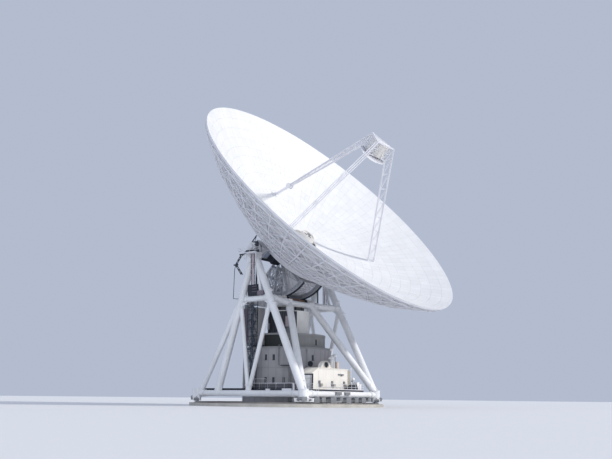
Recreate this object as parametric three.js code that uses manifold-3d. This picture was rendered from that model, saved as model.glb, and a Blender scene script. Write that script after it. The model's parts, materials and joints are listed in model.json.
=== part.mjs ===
// Steerable radio telescope dish of the 64 m class, as a 1:2 scale model.
// A full paraboloid on a tubular alidade that turns on a round rail, with a stepped
// round building in the middle. Millimetres, +Z up, dish opening towards -Y.
// The origin is on the ground, on the azimuth axis.
import * as THREE from 'three';
import { mergeVertices } from 'three/addons/utils/BufferGeometryUtils.js';
import Module from 'manifold-3d';

const wasm = await Module();
wasm.setup();

// Driving dimensions, in metres of the real telescope
const METRE = 500; // one real metre in millimetres of the 1:2 model
const SEAT_GAP = 0.0008; // 0.4 mm in the model between pieces that rest on each other
const PIN_GAP = 0.001; // 0.5 mm in the model round the elevation trunnions

const ELEVATION_AT_REST = 42.2; // degrees
const ELEVATION_AXIS_HEIGHT = 32;

const DISH_RADIUS = 32;
const VERTEX_OFFSET = 4.9; // dish vertex above the elevation axis, along the dish axis
const RIM_OFFSET = 15.86;
const DISH_DROP = 0.59; // how far the dish axis passes below the elevation axis
const SKIN_THICKNESS = 0.3;

const SKIN_RADII = [3.1, 8.4, 14, 20, 26, 32];
const ROUND_SEGMENTS = 48;

const RIB_COUNT = 24;
const RIB_RADII = [8.4, 14, 20, 26, 31.6];
const RIB_BACK_OFFSETS = [1.3, 3.3, 6.5, 10.0, 14.5];
const RIB_BAR = 0.28;
const RIB_CHORD = 0.36;
const RIB_DIAGONAL = 0.4;
const RING_BAR = 0.22;
const RING_BAR_SHORT = 0.07;
const RING_BAR_RISE = 0.06;

const HUB_BOTTOM = 0.8;
const HUB_TOP = 4.4;
const HUB_PLATE = 0.3;
const HUB_INNER_RADIUS = 4.6;
const AXLE_BEAM_HALF_LENGTH = 10.2;
const AXLE_BEAM_HALF_WIDTH = 1.3;
const AXLE_BEAM_BOTTOM = -1.2;
const TRUNNION_RADIUS = 0.6;
const TRUNNION_END = 12.75;

const GEAR_RADIUS = 9.7;
const GEAR_DEPTH = 0.7;
const GEAR_WIDTH = 0.5;
const GEAR_X = 3.05;
const GEAR_START = -92; // degrees from the back of the dish axis, negative towards its lower rim
const GEAR_END = -3;
const GEAR_SPOKES = [-86, -62, -38, -10];
const DRUM_RADIUS = 8.7;
const DRUM_HALF_WIDTH = 2.5;
const DRUM_START = -88;
const DRUM_END = -52;
const DRUM_INNER_RADIUS = 1.2;
const SPOKE_TUBE = 0.22;

const CONE_BASE_RADIUS = 3.0;
const CONE_FOOT_RADIUS = 1.95;
const CONE_TOP_RADIUS = 1.5;
const CONE_TOP = 6.7;
const CONE_LIP = 0.2;
const CONE_SKIRT = [2.8, 5.0, 5.45]; // inner radius of the skirt, its floor and its top
const CONE_RECESS = 0.3;

const LEG_ANGLES = { top: 90, left: 202.5, right: -22.5 }; // round the dish axis, from +X
const LEG_FOOT_RADII = { top: 14, left: 17.3, right: 17.3 };
const LEG_TOP_RADIUS = 3.3;
const LEG_TOP_INNER = 29.15;
const LEG_TOP_OUTER = 32.1;
const LEG_FOOT_DEPTH = 0.7;
const LEG_FOOT_SINK = [0.5, 0.1]; // inner and outer chord, cut off at the skin
const LEG_CHORD = 0.3;
const LEG_LACING = 0.16;
const LEG_PANELS = 8;
const TOP_POST_EXTRA = 0.1; // the frame's corner posts are this much wider than its bars

const SUBREFLECTOR_RADIUS = 2.95;
const SUBREFLECTOR_APEX = 27.8;
const SUBREFLECTOR_RIM = 28.6;
const SUBREFLECTOR_BOX_RADIUS = 1.9;
const SUBREFLECTOR_NECK_RADIUS = 0.85;

const TOWER_TOP_X = 11.37;
const TOWER_FOOT_X = 12.34;
const BASE_HEIGHT = 2.5; // centre line of the base beams
const FRONT_FOOT_Y = -14.05;
const REAR_FOOT_Y = 8.2;
const CORNER_Y = 14.05;
const STAY_FOOT_Y = 13.1;
const BRACE_FOOT_Y = -0.2;
const MID_HEIGHT = 21.28;
const LEG_TUBE = 0.75; // radii of the tubes
const RING_LEG_TUBE = 0.7;
const STRUT_TUBE = 0.6;
const STAY_TUBE = 0.55;
const BEAM_TUBE = 0.6;
const BRACE_TUBE = 0.43;
const POST_TUBE = 0.34;
const POST_FOOT = [11.7, -2.6];
const POST_TOP = 27.6;
const ARM_DROP = 0.1; // centre line of the mid frame's arms below MID_HEIGHT
const RING_LEG_TOP_DROP = 0.45; // where the ring legs end, under the corners of the mid frame
const RING_LEG_FOOT_RISE = 0.3;

const MID_RING_OUTER = 3.6;
const MID_RING_INNER = 2.6;
const MID_RING_BOTTOM = 20.5;
const MID_RING_TOP = 21.5;
const MID_DECK_HALF = 0.15; // half thickness of the deck inside the ring
const MID_CORNER = [3.75, 3.2];
const MID_CORNER_TUBE = 0.55; // the beams from corner to corner

const WRAP_RADIUS = 4.5; // the round housing of the cables, between the building and the mid frame
const WRAP_NECK_RADIUS = 3.3;
const WRAP_BOTTOM = 14.75;
const WRAP_TOP = 19.6;
const SHAFT_X = [-10.05, -8.1];
const SHAFT_Y = [-0.5, 3.8];
const SHAFT_HEIGHT = [12.1, 19.6];
const SHAFT_HEAD_X = [-9.7, -8.6];
const SHAFT_HEAD_Y = [2.2, 3.8];

const BEARING_X = 11.5;
const BEARING_HALF = [1.0, 1.2, 1.15];
const BORE_REACH = [9, 14];

const TRACK_RADIUS = 18.7;
const FOUNDATION_HEIGHT = 0.6;
const FOUNDATION_HALF_WIDTH = 1.5;
const RAIL_TOP = 0.85;
const RAIL_HALF_WIDTH = 0.3;
const PEDESTAL_RADIUS = 1.0;
const PEDESTAL_TOP = 3.35;
const PEDESTAL_BOTTOM = 1.7;
const PEDESTAL_SINK = 0.2; // how far a pedestal starts above the bottom of its bogie
const BOGIE_HALF = [1.9, 0.65]; // along the track and across it
const BOGIE_BOTTOM = 1.0;
const WHEEL_RADIUS = 0.5;
const WHEEL_WIDTH = 0.3;
const WHEEL_OFFSET = 1.15;
const WHEEL_SIDES = 16;

const BUILDING_RADIUS = 9.3;
const WALL = 0.35;
const SLAB = 0.3;
const MIDDLE_FLOOR = 7.7;
const BUILDING_TOP = 11.5;
const TIER_RADIUS = 7.9;
const TIER_TOP = 14.6;
const LOWER_WINDOWS = [11.5, 22, 35]; // degrees from the start of each quarter of wall
const MIDDLE_WINDOWS = [ // degrees round the building
  11.5, 22, 72.5, 101.5, 112, 162.5, 191.5, 202, 252.5, 317, 327.5, 342.5,
];
const WINDOW_SIZE = [0.5, 1.1];
const LOWER_SILL = 4.6;
const MIDDLE_SILL = 9.1;
const TIER_SILL = 12.4;
const TIER_WINDOWS = [40, 87, 130, 177, 220, 267, 310, 357];

const CABIN_X = [-8.4, 3.4];
const CABIN_Y = [-13.05, -9.98];
const PLATFORM_X = [-9.0, 7.4];
const PLATFORM_Y = [-14.4, -9.95];
const PLATFORM_THICKNESS = 0.24;
const WALKWAY_X = [-11.7, -10.75]; // beside the left side beam, from the platform to the stairs
const WALKWAY_TURN_Y = -10.95;
const WALKWAY_BRACKETS = [-9, -6, -3]; // the Y of the brackets that rest on the side beam
const WALKWAY_BRACKET_HALF = 0.15;
const CABIN_HEIGHT = 4.0;
const CABIN_WALL = 0.2;
const CABIN_DOOR = [2.3, 2.9];
const DOOR_CORNER = 0.45; // from the corner of the cabin to its door
const DOOR_PLACE = [0.05, 0.13]; // outer and inner face of the door, from the outside of the wall
const CABIN_EAVE = 0.1;
const CABIN_ROOF = 0.2;
const CABIN_SLOPE = [2, 1]; // how far the roof slopes down at its left end, and how deep

const STAIR_X = [-11.5, -10.1];
const STAIR_Y = [-0.3, 1.4];
const STAIR_BOTTOM = 2.3;
const STAIR_LEVELS = 6;
const STAIR_BAR = 0.16;
const STAIR_TOP_DROP = [0.3, 1.2]; // posts and last landing below MID_HEIGHT

// Finishes
const finish = (color, roughness, metalness = 0) =>
  new THREE.MeshStandardMaterial({ color, roughness, metalness });
const WHITE_PAINT = finish('#f1f2f2', 0.45);
const STEEL_PAINT = finish('#e4e6e8', 0.5);
const LATTICE_PAINT = finish('#dcdce4', 0.55);
const CONCRETE = finish('#a9a59b', 0.9);
const WALL_PANEL = finish('#b7b3a7', 0.8);
const CABIN_PANEL = finish('#ece4d6', 0.7);
const ROOF_GREY = finish('#8f9090', 0.85);
const RAIL_STEEL = finish('#5d5a57', 0.45, 0.8);
const GEAR_STEEL = finish('#2a2d33', 0.5, 0.6);
const DRUM_GREY = finish('#9a9b9e', 0.6);
const BOX_BEIGE = finish('#d9d1c4', 0.7);

const radians = THREE.MathUtils.degToRad;
const vec = (x, y, z) => new THREE.Vector3(x * METRE, y * METRE, z * METRE);

// Solids

// A closed three.js geometry as a manifold solid, its faces turned outwards.
function solid(geometry) {
  const bare = geometry.clone();
  bare.deleteAttribute('normal');
  bare.deleteAttribute('uv');
  const merged = mergeVertices(bare, 1e-4);
  const points = merged.attributes.position.array;
  const faces = [];
  const index = merged.index.array;
  for (let i = 0; i < index.length; i += 3) {
    const [a, b, c] = [index[i], index[i + 1], index[i + 2]];
    if (a !== b && b !== c && a !== c) faces.push(a, b, c);
  }
  const corner = (i) => new THREE.Vector3().fromArray(points, 3 * i);
  let volume = 0;
  for (let i = 0; i < faces.length; i += 3) {
    volume += corner(faces[i]).dot(corner(faces[i + 1]).cross(corner(faces[i + 2])));
  }
  if (volume < 0) faces.reverse();
  return new wasm.Manifold(new wasm.Mesh({
    numProp: 3,
    vertProperties: new Float32Array(points),
    triVerts: new Uint32Array(faces),
  }));
}

const join = (pieces) => pieces.reduce((sum, piece) => sum.add(piece));
const cut = (piece, tools) => tools.reduce((rest, tool) => rest.subtract(tool), piece);

// Turns a geometry's +Z to run from a to b and moves its middle between them.
function along(geometry, a, b) {
  const turn = new THREE.Quaternion().setFromUnitVectors(
    new THREE.Vector3(0, 0, 1), b.clone().sub(a).normalize());
  geometry.applyQuaternion(turn);
  const middle = a.clone().add(b).multiplyScalar(0.5);
  return geometry.translate(middle.x, middle.y, middle.z);
}

function tube(a, b, radius, sides = 12) {
  const geometry = new THREE.CylinderGeometry(radius * METRE, radius * METRE, a.distanceTo(b), sides);
  return solid(along(geometry.rotateX(Math.PI / 2), a, b));
}

// A tube grown by the seat gap all round, to cut what meets it.
function tubeTool(a, b, radius, sides = 12) {
  const reach = b.clone().sub(a).setLength(SEAT_GAP * METRE);
  return tube(a.clone().sub(reach), b.clone().add(reach), radius + SEAT_GAP, sides);
}

// A square bar, its sides square to the plane through the Z axis where it runs outwards.
function bar(a, b, width) {
  const forward = b.clone().sub(a).normalize();
  const middle = a.clone().add(b).multiplyScalar(0.5);
  const outward = new THREE.Vector3(middle.x, middle.y, 0).normalize();
  const up = new THREE.Vector3(0, 0, 1);
  let side = new THREE.Vector3().crossVectors(up, outward);
  if (Math.abs(side.dot(forward)) > 0.7) side = outward;
  const x = side.sub(forward.clone().multiplyScalar(side.dot(forward))).normalize();
  const y = new THREE.Vector3().crossVectors(forward, x);
  const size = width * METRE;
  const geometry = new THREE.BoxGeometry(size, size, a.distanceTo(b));
  const matrix = new THREE.Matrix4().makeBasis(x, y, forward).setPosition(middle);
  return solid(geometry.applyMatrix4(matrix));
}

function box([x0, x1], [y0, y1], [z0, z1]) {
  const geometry = new THREE.BoxGeometry((x1 - x0) * METRE, (y1 - y0) * METRE, (z1 - z0) * METRE);
  const middle = vec((x0 + x1) / 2, (y0 + y1) / 2, (z0 + z1) / 2);
  return solid(geometry.translate(middle.x, middle.y, middle.z));
}

// A solid of revolution about Z, or about a line beside it at some Y, from [radius, height] points.
// A profile off the axis closes on itself.
function revolve(profile, segments, y = 0) {
  const closed = profile.every(([radius]) => radius > 0) ? [...profile, profile[0]] : profile;
  const points = closed.map(([radius, height]) => new THREE.Vector2(radius * METRE, height * METRE));
  return solid(new THREE.LatheGeometry(points, segments).rotateX(Math.PI / 2).translate(0, y * METRE, 0));
}

const ring = (inner, outer, bottom, top, segments) =>
  revolve([[inner, bottom], [outer, bottom], [outer, top], [inner, top]], segments);

const disc = (radius, bottom, top, segments) =>
  revolve([[0, bottom], [radius, bottom], [radius, top], [0, top]], segments);

// A wedge between two angles, in degrees, set back from both by half of a seat gap.
function wedge(start, end, radius, bottom, top) {
  const half = radians((end - start) / 2);
  const middle = radians((end + start) / 2);
  const setBack = SEAT_GAP / 2 / Math.sin(half);
  const shape = new THREE.Shape();
  const corner = (angle, length) => [
    (Math.cos(middle) * setBack + Math.cos(angle) * length) * METRE,
    (Math.sin(middle) * setBack + Math.sin(angle) * length) * METRE,
  ];
  shape.moveTo(...corner(middle, 0));
  const steps = 6;
  for (let i = 0; i <= steps; i += 1) {
    shape.lineTo(...corner(radians(start + ((end - start) * i) / steps), radius * 1.3));
  }
  const geometry = new THREE.ExtrudeGeometry(shape, { depth: (top - bottom) * METRE, bevelEnabled: false });
  return solid(geometry.translate(0, 0, bottom * METRE));
}

// A flat outline in the Y-Z plane, extruded along X between two places.
function plateAcrossX(outline, x0, x1) {
  const shape = new THREE.Shape(outline.map(([y, z]) => new THREE.Vector2(y * METRE, z * METRE)));
  const geometry = new THREE.ExtrudeGeometry(shape, { depth: (x1 - x0) * METRE, bevelEnabled: false });
  geometry.applyMatrix4(new THREE.Matrix4().makeBasis(
    new THREE.Vector3(0, 1, 0), new THREE.Vector3(0, 0, 1), new THREE.Vector3(1, 0, 0)));
  return solid(geometry.translate(x0 * METRE, 0, 0));
}

// A solid with a flat outline of [x, z] points, reaching from y0 to y1.
const plateAcrossY = (outline, y0, y1) =>
  plateAcrossX(outline.map(([x, z]) => [-x, z]).reverse(), y0, y1).rotate([0, 0, 90]);

const antenna = new THREE.Group();
const foundation = new THREE.Group();
const alidade = new THREE.Group();
const dish = new THREE.Group();
const bowl = new THREE.Group();
antenna.add(foundation, alidade, dish);
dish.add(bowl);
dish.position.z = ELEVATION_AXIS_HEIGHT * METRE;
dish.rotation.x = radians(90 - ELEVATION_AT_REST);
bowl.position.y = -DISH_DROP * METRE;

// Puts a solid into the scene graph as a named mesh.
function place(group, name, piece, material) {
  const { numProp, vertProperties, triVerts } = piece.getMesh();
  const positions = new Float32Array((vertProperties.length / numProp) * 3);
  for (let i = 0; i < positions.length / 3; i += 1) {
    for (let k = 0; k < 3; k += 1) positions[3 * i + k] = vertProperties[numProp * i + k];
  }
  const geometry = new THREE.BufferGeometry();
  geometry.setAttribute('position', new THREE.BufferAttribute(positions, 3));
  geometry.setIndex(new THREE.BufferAttribute(new Uint32Array(triVerts), 1));
  geometry.computeVertexNormals();
  const mesh = new THREE.Mesh(geometry, material);
  mesh.name = name;
  group.add(mesh);
}

// Foundation, rail and building

function buildTrack() {
  place(foundation, 'foundation_ring', ring(TRACK_RADIUS - FOUNDATION_HALF_WIDTH,
    TRACK_RADIUS + FOUNDATION_HALF_WIDTH, 0, FOUNDATION_HEIGHT, ROUND_SEGMENTS), CONCRETE);
  place(foundation, 'azimuth_rail', ring(TRACK_RADIUS - RAIL_HALF_WIDTH,
    TRACK_RADIUS + RAIL_HALF_WIDTH, FOUNDATION_HEIGHT + SEAT_GAP, RAIL_TOP, ROUND_SEGMENTS), RAIL_STEEL);
}

function windowCut(angle, radius, sill) {
  const geometry = new THREE.BoxGeometry(2 * METRE, WINDOW_SIZE[0] * METRE, WINDOW_SIZE[1] * METRE);
  geometry.translate(radius * METRE, 0, (sill + WINDOW_SIZE[1] / 2) * METRE);
  return solid(geometry.rotateZ(radians(angle)));
}

function buildBuilding() {
  const wall = ring(BUILDING_RADIUS - WALL, BUILDING_RADIUS, 0, BUILDING_TOP, ROUND_SEGMENTS);
  for (let quarter = 0; quarter < 4; quarter += 1) {
    const start = quarter * 90;
    const piece = wall.intersect(wedge(start, start + 90, BUILDING_RADIUS, -1, BUILDING_TOP + 1));
    const windows = [
      ...LOWER_WINDOWS.map((angle) => windowCut(start + angle, BUILDING_RADIUS, LOWER_SILL)),
      ...MIDDLE_WINDOWS.filter((angle) => angle > start && angle < start + 90)
        .map((angle) => windowCut(angle, BUILDING_RADIUS, MIDDLE_SILL)),
    ];
    place(foundation, `building_wall_${quarter + 1}`, cut(piece, windows), WALL_PANEL);
  }
  const inside = BUILDING_RADIUS - WALL - SEAT_GAP;
  place(foundation, 'ground_floor', disc(inside, 0, SLAB, ROUND_SEGMENTS), CONCRETE);
  place(foundation, 'middle_floor',
    disc(inside, MIDDLE_FLOOR - SLAB, MIDDLE_FLOOR, ROUND_SEGMENTS), CONCRETE);
  place(foundation, 'lower_roof', disc(BUILDING_RADIUS, BUILDING_TOP + SEAT_GAP,
    BUILDING_TOP + SLAB, ROUND_SEGMENTS), ROOF_GREY);

  const tierBottom = BUILDING_TOP + SLAB + SEAT_GAP;
  const tier = revolve([
    [TIER_RADIUS - WALL, tierBottom], [TIER_RADIUS, tierBottom], [TIER_RADIUS, TIER_TOP],
    [0, TIER_TOP], [0, TIER_TOP - SLAB], [TIER_RADIUS - WALL, TIER_TOP - SLAB],
    [TIER_RADIUS - WALL, tierBottom]], ROUND_SEGMENTS);
  place(foundation, 'upper_tier', cut(tier, TIER_WINDOWS.map(
    (angle) => windowCut(angle, TIER_RADIUS, TIER_SILL))), WALL_PANEL);
}

// Alidade

const towers = [['left', -1], ['right', 1]];
const apex = (side) => vec(side * TOWER_TOP_X, 0, ELEVATION_AXIS_HEIGHT);

// A point on the straight line from the top of a tower to a foot at the given Y.
function onLeg(side, footY, height) {
  const t = (ELEVATION_AXIS_HEIGHT - height) / (ELEVATION_AXIS_HEIGHT - BASE_HEIGHT);
  return vec(side * (TOWER_TOP_X + (TOWER_FOOT_X - TOWER_TOP_X) * t), footY * t, height);
}

const corners = [
  ['front_left', -1, -1], ['front_right', 1, -1], ['rear_left', -1, 1], ['rear_right', 1, 1],
];
const pedestalTool = corners.map(([, side, end]) => tube(
  vec(side * TOWER_FOOT_X, end * CORNER_Y, PEDESTAL_BOTTOM - 1),
  vec(side * TOWER_FOOT_X, end * CORNER_Y, PEDESTAL_TOP + SEAT_GAP), PEDESTAL_RADIUS + SEAT_GAP, 16));

function buildBogies() {
  for (const [name, side, end] of corners) {
    const centre = vec(side * TOWER_FOOT_X, end * CORNER_Y, 0);
    const heading = Math.atan2(centre.y, centre.x);
    const pedestal = tube(vec(side * TOWER_FOOT_X, end * CORNER_Y, BOGIE_BOTTOM + PEDESTAL_SINK),
      vec(side * TOWER_FOOT_X, end * CORNER_Y, PEDESTAL_TOP), PEDESTAL_RADIUS, 16);
    const inTrackFrame = (geometry) => solid(geometry.rotateZ(heading));
    const height = PEDESTAL_BOTTOM - BOGIE_BOTTOM;
    const truck = inTrackFrame(new THREE.BoxGeometry(
      2 * BOGIE_HALF[1] * METRE, 2 * BOGIE_HALF[0] * METRE, height * METRE,
    ).translate(TRACK_RADIUS * METRE, 0, (BOGIE_BOTTOM + height / 2) * METRE));
    const flatTo = WHEEL_RADIUS * Math.cos(Math.PI / WHEEL_SIDES);
    const wheels = [-1, 1].map((way) => inTrackFrame(new THREE.CylinderGeometry(
      WHEEL_RADIUS * METRE, WHEEL_RADIUS * METRE, WHEEL_WIDTH * METRE, WHEEL_SIDES,
    ).rotateY(Math.PI / WHEEL_SIDES).rotateZ(Math.PI / 2).translate(
      TRACK_RADIUS * METRE, way * WHEEL_OFFSET * METRE, (RAIL_TOP + PIN_GAP + flatTo) * METRE)));
    place(alidade, `bogie_${name}`, join([truck, pedestal, ...wheels]), STEEL_PAINT);
  }
}

function buildBaseBeams() {
  const x = TOWER_FOOT_X;
  const y = CORNER_Y;
  const beams = [
    ['front_beam', vec(-x, -y, BASE_HEIGHT), vec(x, -y, BASE_HEIGHT)],
    ['rear_beam', vec(-x, y, BASE_HEIGHT), vec(x, y, BASE_HEIGHT)],
    ['side_beam_left', vec(-x, -y, BASE_HEIGHT), vec(-x, y, BASE_HEIGHT)],
    ['side_beam_right', vec(x, -y, BASE_HEIGHT), vec(x, y, BASE_HEIGHT)],
  ];
  for (const [name, a, b] of beams) {
    place(alidade, name, cut(tube(a, b, BEAM_TUBE), pedestalTool), STEEL_PAINT);
  }
}

// The tubes of one tower, as cutters for whatever meets them.
function towerTools(side) {
  const grow = SEAT_GAP;
  return {
    bearing: box([side * BEARING_X - BEARING_HALF[0] - grow, side * BEARING_X + BEARING_HALF[0] + grow],
      [-BEARING_HALF[1] - grow, BEARING_HALF[1] + grow],
      [ELEVATION_AXIS_HEIGHT - BEARING_HALF[2] - grow, ELEVATION_AXIS_HEIGHT + 3]),
    frontLeg: tubeTool(apex(side), onLeg(side, FRONT_FOOT_Y, BASE_HEIGHT), LEG_TUBE),
    rearLeg: tubeTool(apex(side), onLeg(side, REAR_FOOT_Y, BASE_HEIGHT), LEG_TUBE),
    strut: tubeTool(onLeg(side, FRONT_FOOT_Y, MID_HEIGHT), onLeg(side, REAR_FOOT_Y, MID_HEIGHT), STRUT_TUBE),
    beam: tubeTool(vec(side * TOWER_FOOT_X, -CORNER_Y, BASE_HEIGHT),
      vec(side * TOWER_FOOT_X, CORNER_Y, BASE_HEIGHT), BEAM_TUBE),
  };
}

function buildTower(name, side) {
  const tools = towerTools(side);
  const frontMiddle = onLeg(side, FRONT_FOOT_Y, MID_HEIGHT);
  const rearMiddle = onLeg(side, REAR_FOOT_Y, MID_HEIGHT);
  const braceFoot = vec(side * TOWER_FOOT_X, BRACE_FOOT_Y, BASE_HEIGHT);

  const frontLeg = tube(apex(side), onLeg(side, FRONT_FOOT_Y, BASE_HEIGHT), LEG_TUBE);
  place(alidade, `front_leg_${name}`,
    cut(frontLeg, [tools.bearing, tools.beam, ...pedestalTool]), STEEL_PAINT);

  const stay = tube(rearMiddle, vec(side * TOWER_FOOT_X, STAY_FOOT_Y, BASE_HEIGHT), STAY_TUBE);
  const rearLeg = tube(apex(side), onLeg(side, REAR_FOOT_Y, BASE_HEIGHT), LEG_TUBE).add(stay);
  place(alidade, `rear_leg_${name}`, cut(rearLeg,
    [tools.bearing, tools.frontLeg, tools.beam, ...pedestalTool]), STEEL_PAINT);

  const postFoot = vec(side * POST_FOOT[0], POST_FOOT[1], MID_HEIGHT);
  const postTop = apex(side).lerp(postFoot,
    (ELEVATION_AXIS_HEIGHT - POST_TOP) / (ELEVATION_AXIS_HEIGHT - MID_HEIGHT));
  const post = tube(postTop, postFoot, POST_TUBE, 8);
  place(alidade, `strut_${name}`, cut(tube(frontMiddle, rearMiddle, STRUT_TUBE).add(post),
    [tools.frontLeg, tools.rearLeg]), STEEL_PAINT);

  const frontBrace = tube(frontMiddle, braceFoot, BRACE_TUBE, 10);
  place(alidade, `front_brace_${name}`, cut(frontBrace,
    [tools.frontLeg, tools.strut, tools.beam]), STEEL_PAINT);
  const rearBrace = tube(rearMiddle, braceFoot, BRACE_TUBE, 10);
  const frontBraceTool = tubeTool(frontMiddle, braceFoot, BRACE_TUBE, 10);
  const stayTool = tubeTool(rearMiddle, vec(side * TOWER_FOOT_X, STAY_FOOT_Y, BASE_HEIGHT), STAY_TUBE);
  place(alidade, `rear_brace_${name}`, cut(rearBrace,
    [tools.rearLeg, stayTool, tools.strut, tools.beam, frontBraceTool]), STEEL_PAINT);
}

const midRing = (grow) => revolve([
  [0, MID_HEIGHT - MID_DECK_HALF], [MID_RING_INNER, MID_HEIGHT - MID_DECK_HALF],
  [MID_RING_INNER, MID_RING_BOTTOM - grow], [MID_RING_OUTER + grow, MID_RING_BOTTOM - grow],
  [MID_RING_OUTER + grow, MID_RING_TOP + grow], [MID_RING_INNER, MID_RING_TOP + grow],
  [MID_RING_INNER, MID_HEIGHT + MID_DECK_HALF], [0, MID_HEIGHT + MID_DECK_HALF]], 16);

const midCorner = (side, end) => vec(side * MID_CORNER[0], end * MID_CORNER[1], MID_HEIGHT - ARM_DROP);

function buildMidFrame() {
  const arms = [
    tube(midCorner(-1, -1), midCorner(1, -1), MID_CORNER_TUBE),
    tube(midCorner(-1, 1), midCorner(1, 1), MID_CORNER_TUBE),
  ];
  const tools = [];
  for (const [, side] of towers) {
    const { frontLeg, rearLeg, strut } = towerTools(side);
    tools.push(frontLeg, rearLeg, strut);
    arms.push(tube(midCorner(side, -1), midCorner(side, 1), MID_CORNER_TUBE));
    for (const [footY, end] of [[FRONT_FOOT_Y, -1], [REAR_FOOT_Y, 1]]) {
      arms.push(tube(midCorner(side, end), onLeg(side, footY, MID_HEIGHT), STRUT_TUBE));
    }
  }
  const stays = towers.map(([, side]) => tubeTool(onLeg(side, REAR_FOOT_Y, MID_HEIGHT),
    vec(side * TOWER_FOOT_X, STAY_FOOT_Y, BASE_HEIGHT), STAY_TUBE));
  const braces = towers.flatMap(([, side]) => [FRONT_FOOT_Y, REAR_FOOT_Y].map((footY) => tubeTool(
    onLeg(side, footY, MID_HEIGHT), vec(side * TOWER_FOOT_X, BRACE_FOOT_Y, BASE_HEIGHT),
    BRACE_TUBE, 10)));
  const whole = join([midRing(0), ...arms]);
  place(alidade, 'mid_frame', cut(whole, [...tools, ...stays, ...braces]), STEEL_PAINT);
}

function buildRingLegs() {
  for (const [name, side] of towers) {
    const { frontLeg, beam } = towerTools(side);
    const foot = vec(side * TOWER_FOOT_X, -CORNER_Y, BASE_HEIGHT + RING_LEG_FOOT_RISE);
    const above = box([side * MID_CORNER[0] - MID_RING_OUTER, side * MID_CORNER[0] + MID_RING_OUTER],
      [-2 * MID_CORNER[1], 0], [MID_HEIGHT - RING_LEG_TOP_DROP, ELEVATION_AXIS_HEIGHT]);
    const frontBeam = tubeTool(vec(-TOWER_FOOT_X, -CORNER_Y, BASE_HEIGHT),
      vec(TOWER_FOOT_X, -CORNER_Y, BASE_HEIGHT), BEAM_TUBE);
    const arm = tubeTool(midCorner(side, -1), onLeg(side, FRONT_FOOT_Y, MID_HEIGHT), STRUT_TUBE);
    const cornerBeams = [tubeTool(midCorner(-1, -1), midCorner(1, -1), MID_CORNER_TUBE),
      tubeTool(midCorner(side, -1), midCorner(side, 1), MID_CORNER_TUBE)];
    const meets = [above, midRing(SEAT_GAP), arm, ...cornerBeams, frontLeg, beam, frontBeam];
    const leg = tube(midCorner(side, -1), foot, RING_LEG_TUBE);
    place(alidade, `ring_leg_${name}`, cut(leg, [...meets, ...pedestalTool]), STEEL_PAINT);
  }
}

// The closed housings that hang from the mid frame: the cable drum and the shaft behind the stairs
function buildHousings() {
  place(alidade, 'cable_wrap', revolve([
    [0, WRAP_BOTTOM], [WRAP_RADIUS, WRAP_BOTTOM], [WRAP_RADIUS, WRAP_TOP], [WRAP_NECK_RADIUS, WRAP_TOP],
    [WRAP_NECK_RADIUS, MID_RING_BOTTOM - SEAT_GAP], [0, MID_RING_BOTTOM - SEAT_GAP]], 24), DRUM_GREY);
  const arm = tubeTool(midCorner(-1, 1), onLeg(-1, REAR_FOOT_Y, MID_HEIGHT), STRUT_TUBE);
  const head = box(SHAFT_HEAD_X, SHAFT_HEAD_Y, [SHAFT_HEIGHT[0], MID_HEIGHT - ARM_DROP]);
  place(alidade, 'shaft_housing', cut(box(SHAFT_X, SHAFT_Y, SHAFT_HEIGHT).add(head), [arm]), CABIN_PANEL);
}

function buildBearings() {
  const boreRadius = (TRUNNION_RADIUS + PIN_GAP) / Math.cos(Math.PI / 32);
  for (const [name, side] of towers) {
    const block = box([side * BEARING_X - BEARING_HALF[0], side * BEARING_X + BEARING_HALF[0]],
      [-BEARING_HALF[1], BEARING_HALF[1]],
      [ELEVATION_AXIS_HEIGHT - BEARING_HALF[2], ELEVATION_AXIS_HEIGHT + BEARING_HALF[2]]);
    const bore = tube(vec(side * BORE_REACH[0], 0, ELEVATION_AXIS_HEIGHT),
      vec(side * BORE_REACH[1], 0, ELEVATION_AXIS_HEIGHT), boreRadius, 32);
    place(alidade, `bearing_${name}`, block.subtract(bore), STEEL_PAINT);
  }
}

function buildSideWalkway() {
  const bottom = BASE_HEIGHT + BEAM_TUBE + SEAT_GAP;
  const height = [bottom, bottom + PLATFORM_THICKNESS];
  const along = box(WALKWAY_X, [WALKWAY_TURN_Y, STAIR_Y[0] - SEAT_GAP], height);
  const across = box([WALKWAY_X[0], PLATFORM_X[0] - SEAT_GAP], [WALKWAY_TURN_Y, PLATFORM_Y[1]], height);
  const brackets = WALKWAY_BRACKETS.map((y) => box([-TOWER_FOOT_X, WALKWAY_X[1]],
    [y - WALKWAY_BRACKET_HALF, y + WALKWAY_BRACKET_HALF], height));
  place(alidade, 'side_walkway', join([along, across, ...brackets]), GEAR_STEEL);
}

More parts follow.
